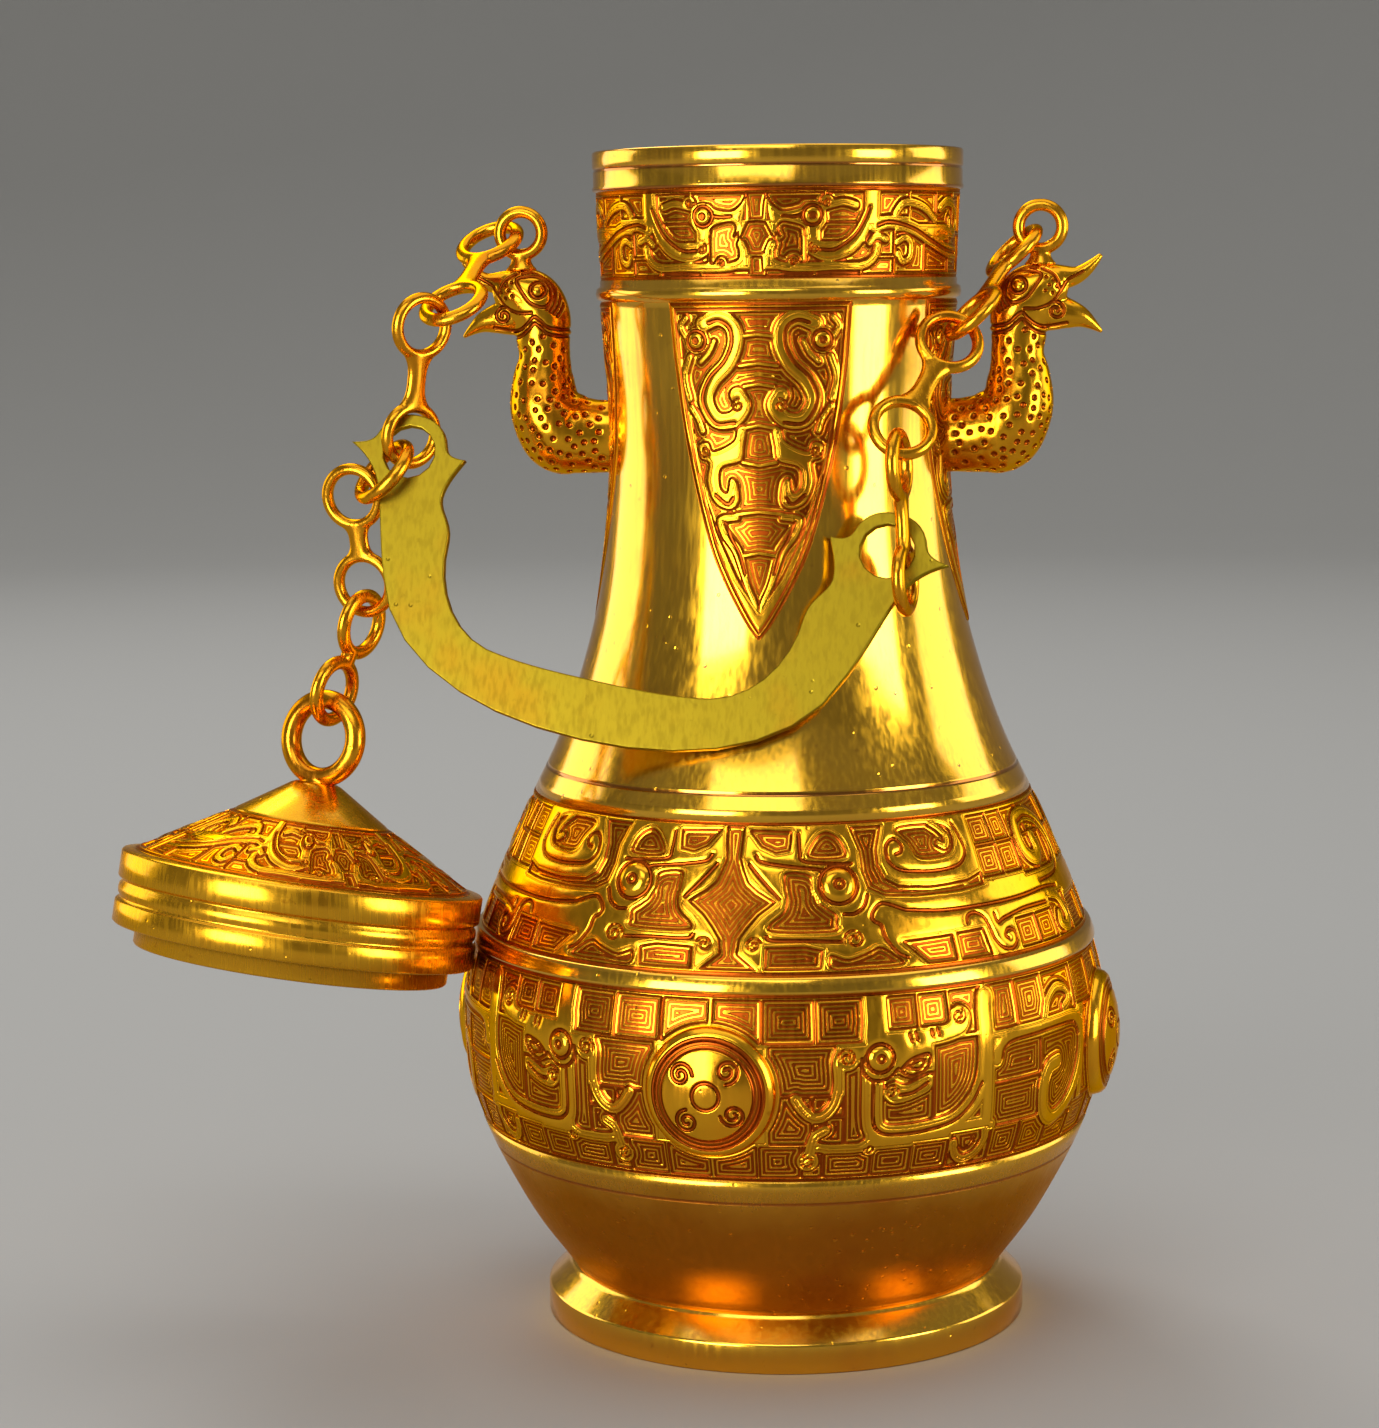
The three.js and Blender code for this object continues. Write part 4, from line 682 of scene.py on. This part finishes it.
LEAF_TOP = 262.6
LEAF_LENGTH = 82
LEAF_HALF_WIDTH = [(0, 23.6), (18, 21.8), (38, 18.4), (57.6, 13.2), (67.5, 9.2), (77.4, 3.8), (82, 0.35)]
LEAF_STAND = 0.42
LEAF_BACK = 1.2
GROOVE_FROM = 0.5
GROOVE_TO = 1.9


def leaf_panel(name, turn):
    """Leaf-shaped panel on the neck: a grid narrowed along a curve to a point and wrapped on the wall.

    A sunk groove follows its rim, and a skirt closes it to a plain back inside the wall.
    """
    n, m = 108, 190
    v = np.linspace(0, LEAF_LENGTH, m)
    width = np.interp(v, *curve_through(LEAF_HALF_WIDTH, 8).T)
    u = np.linspace(-1, 1, n)[:, None] * width
    v = np.repeat(v[None, :], n, 0)
    height, edge, mark = relief(np.abs(u), v, LEAF, 0.32, 0.15)
    rim = np.minimum(np.minimum((width - np.abs(u)) * 0.96, v), LEAF_LENGTH - v)
    border = np.minimum(np.abs(rim - GROOVE_FROM), np.abs(rim - GROOVE_TO))
    edge = np.where(rim < GROOVE_TO + 0.5, np.minimum(edge, -0.4), edge)
    in_groove = (rim > GROOVE_FROM) & (rim < GROOVE_TO)
    edge = np.where(in_groove, np.minimum(rim - GROOVE_FROM, GROOVE_TO - rim), edge)
    at_border = rim < GROOVE_TO + 0.3
    mark = np.where(at_border, border, mark)
    height = np.where(at_border, 0.1 - 0.25 * np.exp(-(border / 0.3) ** 2), height)
    z = LEAF_TOP - v
    angle = math.radians(turn) + u / wall_radius(z)
    outer = round_axis(wall_radius(z) + height + LEAF_STAND * (1 - np.exp(-(rim / 0.12) ** 2)), z, angle)
    inner = round_axis(wall_radius(z) - LEAF_BACK, z, angle)
    front = grid_faces(n, m, False, False)[:, [0, 3, 2, 1]]
    loop = np.concatenate([np.arange(m), np.arange(1, n) * m + m - 1, (n - 1) * m + np.arange(m - 2, -1, -1),
                           np.arange(n - 2, 0, -1) * m])
    ahead = np.roll(loop, -1)
    size = n * m
    skirt = np.stack([loop, loop + size, ahead + size, ahead], 1)
    quads = np.vstack([front, front[:, ::-1] + size, skirt])
    points = np.concatenate([outer.reshape(-1, 3), inner.reshape(-1, 3)])
    blank = np.full(size, FAR)
    values = {"edge": np.concatenate([edge.ravel(), -blank]), "mark": np.concatenate([mark.ravel(), blank])}
    publish(name, points, quads, [], RELIEF, "bottle", values)


for panel, turn in (("front", 0), ("right", 90), ("back", 180), ("left", 270)):
    leaf_panel(panel + "_leaf", turn)

BOSS_OUT = 83.3
BOSS_HEIGHT = 76
BOSS_RADIUS = 16.1
BOSS_RISE = 4.5
BOSS_ROOT = 3.6
BOSS_PROFILE = [(0, BOSS_RISE), (4, 4.3), (8, 3.7), (11.4, 2.9), (11.7, 2.6), (12.4, 2.7), (13.4, 2.4),
                (13.7, 2.3), (14.6, 2.1), (15.6, 1.2), (BOSS_RADIUS, -0.4)]
BELLY_CURVE = 120
COMMA_OUT = 7.9


def whorl_boss(name, node, turn):
    """Domed boss: a stepped profile turned about its own axis and bent to the belly, with cut circles
    and four comma spirals."""
    m, n = 60, 200
    rho = np.concatenate([np.linspace(0.12, BOSS_RADIUS, m - 2), [16.25, BOSS_RADIUS]])
    r, theta = np.meshgrid(rho, np.linspace(0, TURN, n, endpoint=False), indexing="xy")
    x, y = r * np.cos(theta), r * np.sin(theta)
    mark = np.full(x.shape, FAR)
    for radius in (3.3, 11.5, 12.5, 13.5):
        mark = np.minimum(mark, np.abs(r - radius))
    for comma in range(4):
        heading = 50 + 92 * comma
        cx, cy = COMMA_OUT * math.cos(math.radians(heading)), COMMA_OUT * math.sin(math.radians(heading))
        mark = np.minimum(mark, stroke_distance(x, y, spiral_line(cx, cy, 3, heading - 140, 1.6, 1)))
    height = np.interp(r, *np.array(BOSS_PROFILE).T) - 0.35 * np.exp(-(mark / CUT_WIDTH) ** 2)
    height[:, -2:] = -2, -BOSS_ROOT
    height -= x ** 2 / (2 * BOSS_OUT) + y ** 2 / (2 * BELLY_CURVE)
    out = round_axis(1.0, 0.0, math.radians(turn))
    across = np.array([math.cos(math.radians(turn)), math.sin(math.radians(turn)), 0])
    centre = BOSS_OUT * out + BOSS_HEIGHT * UP
    points = centre + x[..., None] * across + y[..., None] * UP + height[..., None] * out
    points = np.vstack([points.reshape(-1, 3), [centre + BOSS_RISE * out], [centre - BOSS_ROOT * out]])
    quads = grid_faces(n, m, True, False)[:, [0, 3, 2, 1]]
    values = {"edge": np.full(len(points), -FAR), "mark": np.append(mark.ravel(), [FAR, FAR])}
    publish(name, points, quads, end_fans(n, m)[:, ::-1], RELIEF, "bottle", values, [node])


for side, turn in (("front", -6), ("right", 84), ("back", 174), ("left", 264)):
    whorl_boss(side + "_boss", side + "_whorl_boss", turn)


# Castings: closed skins fused into one piece and worn round

def mesh_arrays(mesh):
    """Places in millimetres and normals of a mesh's points."""
    arrays = []
    for key in ("co", "normal"):
        flat = np.zeros(len(mesh.vertices) * 3, np.float32)
        mesh.vertices.foreach_get(key, flat)
        arrays.append(flat.reshape(-1, 3).astype(float))
    return arrays[0] / MM, arrays[1]


def move_points(mesh, points):
    """Puts a mesh's points at places in millimetres."""
    mesh.vertices.foreach_set("co", (points * MM).astype(np.float32).ravel())
    mesh.update()


def node_points(node):
    """Corners of a node's solid in millimetres, each once."""
    return np.unique(mesh_arrays(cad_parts[node].data)[0], axis=0)


def spread_ways(points):
    """Directions in which points spread least (first column) to most (last), from their covariance."""
    return np.linalg.eigh(np.cov((points - points.mean(0)).T))[1]


def frame_of(node):
    """Middle of a node's box along its own ways, its long way and its thin way."""
    p = node_points(node)
    ways = spread_ways(p)
    run = p @ ways
    return ways @ ((run.min(0) + run.max(0)) / 2), ways[:, 2], ways[:, 0]


def tube_faces(n, m):
    """Sides and two end caps of a tube of n rings of m points."""
    quads = grid_faces(n, m, False, True)[:, [0, 3, 2, 1]]
    return quads.tolist() + [list(range(m))[::-1], list(range((n - 1) * m, n * m))]


def ring_skin(centre, facing, along, radius, inner, outer, deep):
    """Ring whose oval section reaches inner and outer from its middle line, and deep to each side."""
    n, m = 112, 24
    t, f = np.meshgrid(np.linspace(0, TURN, n, endpoint=False), np.linspace(0, TURN, m, endpoint=False),
                       indexing="ij")
    reach = radius + np.where(np.cos(f) > 0, outer, inner) * np.cos(f)
    across = np.cross(facing, along)
    points = (centre + (reach * np.cos(t))[..., None] * along + (reach * np.sin(t))[..., None] * across
              + (deep * np.sin(f))[..., None] * facing)
    return points.reshape(-1, 3), grid_faces(n, m).tolist()


def neck_skin(start, end, facing, waist, flare, deep, heel=0.0):
    """Oval bar between two points: a cubed flare at both ends, a squared heel at the first."""
    t = np.linspace(0, 1, 17)
    f = np.linspace(0, TURN, 28, endpoint=False)
    across = np.cross(facing, (end - start) / np.linalg.norm(end - start))
    wide = waist + flare * np.abs(2 * t - 1) ** 3 + heel * (1 - t) ** 2
    thick = deep + 0.6 * heel * (1 - t) ** 2
    points = (start + t[:, None, None] * (end - start)
              + (wide[:, None] * np.cos(f))[..., None] * across
              + (thick[:, None] * np.sin(f))[..., None] * facing)
    return points.reshape(-1, 3), tube_faces(len(t), len(f))


def fused(name, skins, voxel=0.28, passes=7):
    """Fuses closed skins into one casting on a grid of voxels in millimetres, and wears its edges round."""
    points, faces = [], []
    for skin, sides in skins:
        start = sum(len(q) for q in points)
        points.append(skin)
        faces += [[start + k for k in side] for side in sides]
    shell = bpy.data.meshes.new(name + "_shell")
    shell.from_pydata((np.vstack(points) * MM).tolist(), [], faces)
    work = bmesh.new()
    work.from_mesh(shell)
    bmesh.ops.recalc_face_normals(work, faces=work.faces)
    work.to_mesh(shell)
    work.free()
    piece = bpy.data.objects.new(name + "_work", shell)
    bpy.context.scene.collection.objects.link(piece)
    cast = piece.modifiers.new("cast", "REMESH")
    cast.mode = "VOXEL"
    cast.voxel_size = voxel * MM
    wear = piece.modifiers.new("wear", "SMOOTH")
    wear.factor = 0.5
    wear.iterations = passes
    graph = bpy.context.evaluated_depsgraph_get()
    mesh = bpy.data.meshes.new_from_object(piece.evaluated_get(graph))
    mesh.name = name
    bpy.data.objects.remove(piece)
    mesh.polygons.foreach_set("use_smooth", np.ones(len(mesh.polygons), bool))
    return mesh


# Chain: the spacing of each link's two rings and how far its bar stands out, in millimetres
LINKS = {"left_link_1": (27.5, 2.3), "left_link_2": (27.5, 1.68), "right_link_1": (27.5, 2.2),
         "right_link_2": (27.5, 1.68), "right_link_3": (27.5, 2.2), "lid_link_1": (22.5, 1.65),
         "lid_link_2": (18.5, 2.3)}
LINK_RADIUS = 7
LINK_NECK_FROM = 6.9

for node, (spacing, outer) in LINKS.items():
    middle, long_way, thin_way = frame_of(node)
    first, last = middle - long_way * spacing / 2, middle + long_way * spacing / 2
    skins = [ring_skin(centre, thin_way, long_way, LINK_RADIUS, 1.3, outer, 1.68) for centre in (first, last)]
    skins.append(neck_skin(first + LINK_NECK_FROM * long_way, last - LINK_NECK_FROM * long_way, thin_way,
                           2.6, 2.4, 1.7))
    settle(node + "_cast", fused(node + "_cast", skins), CHAIN, node, [node])

middle, long_way, thin_way = frame_of("joining_ring")
joint = fused("joining_ring_cast", [ring_skin(middle, thin_way, long_way, 8.2, 1.4, 1.8, 1.8)])
settle("joining_ring_cast", joint, CHAIN, "joining_ring", ["joining_ring"])

for node in ("left_crest_ring", "right_crest_ring"):
    middle, _, thin_way = frame_of(node)
    stem = neck_skin(middle - 9.4 * UP, middle - 5 * UP, thin_way, 2.2, 0.4, 1.7, 1.8)
    crest = fused(node + "_cast", [ring_skin(middle, thin_way, UP, 5.3, 1.4, 1.75, 1.7), stem])
    settle(node + "_cast", crest, CHAIN, "bottle", [node])

# Birds: stations of (out, up, half height, half width), and lines of (out, up), from a root on the neck
BIRD_ROOT = (43.1, 229.5)
BIRD_NECK = [(-3, -1.4, 9.4, 6.6), (3, -1.4, 9.4, 7.4), (8.8, -1, 10, 8.8), (13.6, 0.2, 10.9, 9.8),
             (17.4, 6, 9.4, 9.8), (18, 13.2, 8, 7.9), (17.6, 19, 6.7, 6.5), (17.9, 23.8, 7, 6.4),
             (18.3, 29, 7.6, 6.7), (20.4, 33, 7.9, 6.8), (23.8, 34.8, 7.3, 6.4), (27.6, 35, 5.8, 5.2),
             (30.2, 34.4, 3.2, 3)]
UPPER_BEAK = [(24, 38, 4, 4.4), (29, 38, 3.1, 3.6), (32.6, 38.6, 2.2, 2.7), (35.8, 40.8, 1.5, 1.8),
              (38.6, 43.6, 0.6, 0.8)]
LOWER_BEAK = [(23, 30, 5.2, 4.8), (28.6, 29.2, 4.3, 4), (33, 28.2, 2.9, 3), (36, 26.5, 1.6, 1.8),
              (38.9, 24.2, 0.4, 0.5)]
COLLAR = [(8, 26), (12, 25.2), (15.6, 26), (17.4, 27.6), (19, 28.6), (20.4, 27.2), (22.4, 25.6), (25, 25),
          (30, 25.8)]
COLLAR_HALF_WIDTH = 0.85
HEAD_LINES = [
    [(13.8, 35), (15.4, 38.4), (19, 39.8), (23.6, 39), (22, 35.6), (19.6, 32.8), (16, 32), (13.8, 35)],
    [(19.6, 30.4), (23, 30.4), (26.4, 31.8), (28.6, 34.6), (30.4, 37.4), (34, 39.4)],
    [(24, 40.4), (27, 38.6), (28.6, 35)],
]
JAW_CURL = (27.4, 29.7, 2.4, 120, 1.4, -1)
BIRD_EYE = (18, 36.2)
FACE_DOTS = [(25, 38.2), (26.8, 37.4), (25.8, 36.2), (27.6, 35.8), (24.8, 34.8), (26.6, 34.2)]
DIMPLE_SPACING = 2.5


def swept(stations, side):
    """Oval rings set square to a smooth path through the stations, closed at both ends."""
    line = curve_through(stations, 10)
    run = np.gradient(line[:, :2], axis=0)
    run /= np.linalg.norm(run, axis=1)[:, None]
    t = np.linspace(0, TURN, 48, endpoint=False)
    across = line[:, 2:3] * np.cos(t)
    ring = np.stack([side * (BIRD_ROOT[0] + line[:, :1] - run[:, 1:] * across), line[:, 3:] * np.sin(t),
                     BIRD_ROOT[1] + line[:, 1:2] + run[:, :1] * across], -1)
    return ring.reshape(-1, 3), tube_faces(len(line), len(t))


def bird(node, side):
    """Bird lug: a cast neck, with cut lines and a domed eye on its flanks, a raised collar, and dimples.

    The dimples are scattered at random below the collar, none nearer to another than their spacing.
    """
    skins = [swept(stations, side) for stations in (BIRD_NECK, UPPER_BEAK, LOWER_BEAK)]
    mesh = fused(node + "_cast", skins, 0.3, 12)
    p, normal = mesh_arrays(mesh)
    out, up = side * p[:, 0] - BIRD_ROOT[0], p[:, 2] - BIRD_ROOT[1]
    flank = np.clip((np.abs(normal[:, 1]) - 0.15) / 0.2, 0, 1)
    off_flank = FAR * (1 - flank)
    sweep = np.radians(np.linspace(70, 215, 24))
    crown = [np.stack([20 + reach * np.cos(sweep), 34.4 + reach * np.sin(sweep)], 1)
             for reach in (5.4, 6.4, 7.4, 8.4)]
    lines = [curve_through(points) for points in HEAD_LINES] + crown
    lines += [spiral_line(*JAW_CURL), ring_line(*BIRD_EYE, 2)]
    mark = np.full(len(p), FAR)
    for line in lines:
        mark = np.minimum(mark, stroke_distance(out, up, line) + off_flank)
    collar = curve_through(COLLAR)
    for shift in (COLLAR_HALF_WIDTH, -COLLAR_HALF_WIDTH):
        mark = np.minimum(mark, stroke_distance(out, up, collar + (0, shift)))
    away = np.hypot(out - BIRD_EYE[0], up - BIRD_EYE[1])
    lift = flank * 0.7 * np.sqrt(np.clip(1 - (away / 1.5) ** 2, 0, 1))
    lift += 0.22 * np.clip(1 - stroke_distance(out, up, collar) / 0.9, 0, 1)
    lift -= 0.3 * np.exp(-(mark / CUT_WIDTH) ** 2)
    for fu, fv in FACE_DOTS:
        away = np.hypot(out - fu, up - fv) + off_flank
        lift -= 0.3 * np.exp(-(away / 0.45) ** 2)
        mark = np.minimum(mark, np.clip(away, 0.2, FAR))
    plumage = np.nonzero((up < np.interp(out, collar[:, 0], collar[:, 1]) - 2.4) & (out > 1.5))[0]
    waiting = np.random.default_rng(5).permutation(plumage)[:6000]
    while len(waiting):
        centre = p[waiting[0]]
        away = np.sqrt(((p - centre) ** 2).sum(1))
        lift -= 0.45 * np.exp(-(away / 0.6) ** 2)
        mark = np.minimum(mark, np.clip(away - 0.3, 0.05, FAR))
        waiting = waiting[away[waiting] > DIMPLE_SPACING]
    move_points(mesh, p + lift[:, None] * normal)
    give_values(mesh, {"edge": np.full(len(p), -FAR), "mark": mark})
    settle(node + "_cast", mesh, BIRD, "bottle", [node])


bird("left_bird", -1)
bird("right_bird", 1)

# Lid, on the axis of its node: heights from the top of its rim, and radii eased to clear the belly's relief

LID_RIM_ABOVE_SPIGOT = 23.5
LID_EASE = 0.971
lid_points = node_points("lid")
lid_middle = lid_points.mean(0)
lid_axis = spread_ways(lid_points)[:, 0]
lid_axis = lid_axis * np.sign(lid_axis[2])
lid_low = ((lid_points - lid_middle) @ lid_axis).min()
lid_zero = lid_middle + lid_axis * (lid_low + LID_RIM_ABOVE_SPIGOT)
lid_x = np.cross([0, 1, 0], lid_axis)
lid_x /= np.linalg.norm(lid_x)
lid_y = np.cross(lid_axis, lid_x)


def on_lid(points):
    """Puts points given about the lid's own axis in place."""
    flat = LID_EASE * (points[:, :1] * lid_x + points[:, 1:2] * lid_y)
    return lid_zero + flat + points[:, 2:] * lid_axis


thin_way = frame_of("lid_ring")[2]
thin_way = thin_way - lid_axis * (thin_way @ lid_axis)
thin_way /= np.linalg.norm(thin_way)
ring_top = ((node_points("lid_ring") - lid_middle) @ lid_axis).max()
ring_middle = lid_middle + (ring_top - 11) * lid_axis
stem = neck_skin(ring_middle - 13 * lid_axis, ring_middle - 9 * lid_axis, thin_way, 3, 0.4, 2.6, 2.4)
hoop = fused("lid_ring_cast", [ring_skin(ring_middle, thin_way, lid_axis, 9.6, 2.2, 2.9, 2.8), stem], 0.3)
settle("lid_ring_cast", hoop, CHAIN, "lid", ["lid_ring"])

lid_outline = [(0, 11.4), (6, 11), (16, 8), (37.6, -2.6), (37.6, -23), (38, -23.5), (40.8, -23.5),
               (41.2, -23), (41.2, -18.6), (46.8, -18.5), (47.4, -18), (47.4, -12.9), (47.1, -12.5),
               (46.3, -12.2),
               (46.4, -11.6), (46.9, -10.8), (47, -9.8), (46.8, -8.7), (46.2, -7.9), (46.2, -7.4), (47.1, -7),
               (47.4, -6.6), (47.4, -0.5), (47, 0), (44.6, 0.3), (43.9, 0.5), (43.4, -0.4), (20.4, 12.2),
               (20.2, 13.6), (19.6, 14.2), (12.6, 18.6), (6.6, 22.4), (5.4, 22.9), (0, 23)]
turned("lid_shell", lid_outline, 256, LID_GILT, "lid", ["lid"], on_lid)
band("lid_band", [(43.9, 0.6), (32, 7.2), (20.3, 13.7)], CROWN, *CROWN_SIZE, 30, 130, 62, "lid", on_lid, 1.2)


# Handle: the node's outline with its edges eased

def plate_loops(node):
    """Outlines of the plate's front face, its middle, the way it faces and how far it reaches along that."""
    work = bmesh.new()
    work.from_mesh(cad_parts[node].data)
    bmesh.ops.remove_doubles(work, verts=work.verts, dist=1e-6)
    corners = np.array([v.co for v in work.verts]) / MM
    middle = corners.mean(0)
    normal = spread_ways(corners)[:, 0]
    normal = normal * (-np.sign(normal[1]))
    work.normal_update()
    face = {f for f in work.faces if np.dot(f.normal, normal) > 0.98}
    follow = {}
    for edge in work.edges:
        if sum(f in face for f in edge.link_faces) == 1:
            a, b = edge.verts
            follow.setdefault(a.index, []).append(b.index)
            follow.setdefault(b.index, []).append(a.index)
    work.free()
    loops = []
    while follow:
        loop = [min(follow)]
        while loop[-1] in follow:
            loop += [k for k in follow.pop(loop[-1]) if k in follow][:1]
        loops.append(corners[loop])
    along = (corners - middle) @ normal
    return loops, middle, normal, along.min(), along.max()


def eased_plate(name, node, ease):
    """The plate's outlines filled, drawn in and bevelled by ease, and made as thick as its node."""
    loops, middle, normal, low, high = plate_loops(node)
    across = np.cross(UP, normal)
    across /= np.linalg.norm(across)
    upward = np.cross(normal, across)
    shape = bpy.data.curves.new(name, "CURVE")
    shape.dimensions = "2D"
    shape.fill_mode = "BOTH"
    shape.extrude = ((high - low) / 2 - ease) * MM
    shape.bevel_depth = ease * MM
    shape.bevel_resolution = 2
    shape.offset = -ease * MM
    for loop in loops:
        places = np.zeros((len(loop), 4), np.float32)
        places[:, 0] = (loop - middle) @ across * MM
        places[:, 1] = (loop - middle) @ upward * MM
        places[:, 3] = 1
        spline = shape.splines.new("POLY")
        spline.points.add(len(loop) - 1)
        spline.points.foreach_set("co", places.ravel())
        spline.use_cyclic_u = True
    work = bpy.data.objects.new(name + "_work", shape)
    bpy.context.scene.collection.objects.link(work)
    graph = bpy.context.evaluated_depsgraph_get()
    mesh = bpy.data.meshes.new_from_object(work.evaluated_get(graph))
    bpy.data.objects.remove(work)
    origin = middle + normal * (low + high) / 2
    move_points(mesh, origin + mesh_arrays(mesh)[0] @ np.stack([across, upward, normal]))
    clean = bmesh.new()
    clean.from_mesh(mesh)
    bmesh.ops.remove_doubles(clean, verts=clean.verts, dist=2e-6)
    bmesh.ops.recalc_face_normals(clean, faces=clean.faces)
    clean.to_mesh(mesh)
    clean.free()
    mesh.name = name
    level = np.zeros(len(mesh.polygons) * 3, np.float32)
    mesh.polygons.foreach_get("normal", level)
    mesh.polygons.foreach_set("use_smooth", np.abs(level.reshape(-1, 3) @ normal) < 0.999)
    settle(name, mesh, BRASS, "handle", [node])


eased_plate("plate_handle", "handle", 0.4)

# Floor: a disc with a round cove up to a wall, in metres

COVE_FROM = 2.4
COVE_RADIUS = 1.2
FLOOR_WALL_TOP = 2.2
bend = np.linspace(0, math.pi / 2, 13)
reach = np.append(COVE_FROM + COVE_RADIUS * np.sin(bend), COVE_FROM + COVE_RADIUS)
rise = np.append(COVE_RADIUS - COVE_RADIUS * np.cos(bend), FLOOR_WALL_TOP)
floor_grid = round_axis(reach, rise, np.linspace(0, TURN, 96, endpoint=False)[:, None])
n, m = floor_grid.shape[:2]
floor_faces = grid_faces(n, m, True, False)[:, ::-1].tolist() + end_fans(n, m)[:n, ::-1].tolist()
floor_mesh = bpy.data.meshes.new("floor")
floor_mesh.from_pydata(np.vstack([floor_grid.reshape(-1, 3), [[0, 0, 0]]]).tolist(), [], floor_faces)
floor_mesh.shade_smooth()
# Matt painted board: an even pale grey without a shine
floor_finish = bpy.data.materials.new("pale_floor")
floor_finish.use_nodes = True
floor_shader = floor_finish.node_tree.nodes["Principled BSDF"]
floor_shader.inputs["Base Color"].default_value = linear("C2C1BE")
floor_shader.inputs["Roughness"].default_value = 0.8
floor_mesh.materials.append(floor_finish)
floor = bpy.data.objects.new("floor", floor_mesh)
scene = bpy.context.scene
scene.collection.objects.link(floor)

# Light: soft boxes round the object, four of which leave the floor out

scene.view_settings.view_transform = "Standard"
world = scene.world or bpy.data.worlds.new("studio")
scene.world = world
world.use_nodes = True
world.node_tree.nodes["Background"].inputs["Color"].default_value = linear("8A8986")
world.node_tree.nodes["Background"].inputs["Strength"].default_value = 0.85
floor_apart = bpy.data.collections.new("floor_apart")
floor_apart.objects.link(floor)
floor_apart.collection_objects[0].light_linking.link_state = "EXCLUDE"


def soft_box(name, place, target, size, power, object_only=False):
    """Oblong lamp at a place in metres, turned to a target, with a power in watts."""
    light = bpy.data.lights.new(name, "AREA")
    light.shape = "RECTANGLE"
    light.size, light.size_y = size
    light.energy = power
    lamp = bpy.data.objects.new(name, light)
    lamp.location = place
    lamp.rotation_euler = (Vector(target) - Vector(place)).to_track_quat("-Z", "Y").to_euler()
    scene.collection.objects.link(lamp)
    if object_only:
        lamp.light_linking.receiver_collection = floor_apart


soft_box("left_box", (-0.5, -0.93, 0.3), (0, 0, 0.18), (0.5, 0.55), 9.5, True)
soft_box("right_box", (1.0, -0.42, 0.3), (0, 0, 0.18), (0.45, 0.55), 7, True)
soft_box("front_box", (-0.12, -0.8, 0.98), (0, 0, 0.12), (0.8, 0.4), 2.6)
soft_box("top_box", (0, 0.4, 2.4), (0, 0.2, 0), (3.0, 2.4), 24)
soft_box("left_fill", (-1.7, 0.7, 0.5), (0, 0, 0.16), (1.2, 1.0), 8, True)
soft_box("right_fill", (1.8, 0.8, 0.5), (0, 0, 0.16), (1.2, 1.0), 8, True)
soft_box("back_box", (-0.9, 1.5, 1.9), (0, 0, 0.15), (1.0, 1.0), 12)

# Camera: turned from the front, tilted down and rolled, in radians, at a place in metres

CAMERA_TURN = math.radians(8)
CAMERA_TILT = 0.13
CAMERA_ROLL = -0.01104
CAMERA_PLACE = (0.09573, -0.8522, 0.2685)
right = Vector((math.cos(CAMERA_TURN), math.sin(CAMERA_TURN), 0))
ahead = Vector((-math.sin(CAMERA_TURN) * math.cos(CAMERA_TILT), math.cos(CAMERA_TURN) * math.cos(CAMERA_TILT),
                -math.sin(CAMERA_TILT)))
above = right.cross(ahead)
side = math.cos(CAMERA_ROLL) * right + math.sin(CAMERA_ROLL) * above
high = -math.sin(CAMERA_ROLL) * right + math.cos(CAMERA_ROLL) * above
lens = bpy.data.cameras.new("camera")
lens.sensor_width = 36
lens.lens = 84.19
lens.clip_start = 0.05
camera = bpy.data.objects.new("camera", lens)
camera.matrix_world = Matrix.Translation(CAMERA_PLACE) @ Matrix((side, high, -ahead)).transposed().to_4x4()
scene.collection.objects.link(camera)
scene.camera = camera
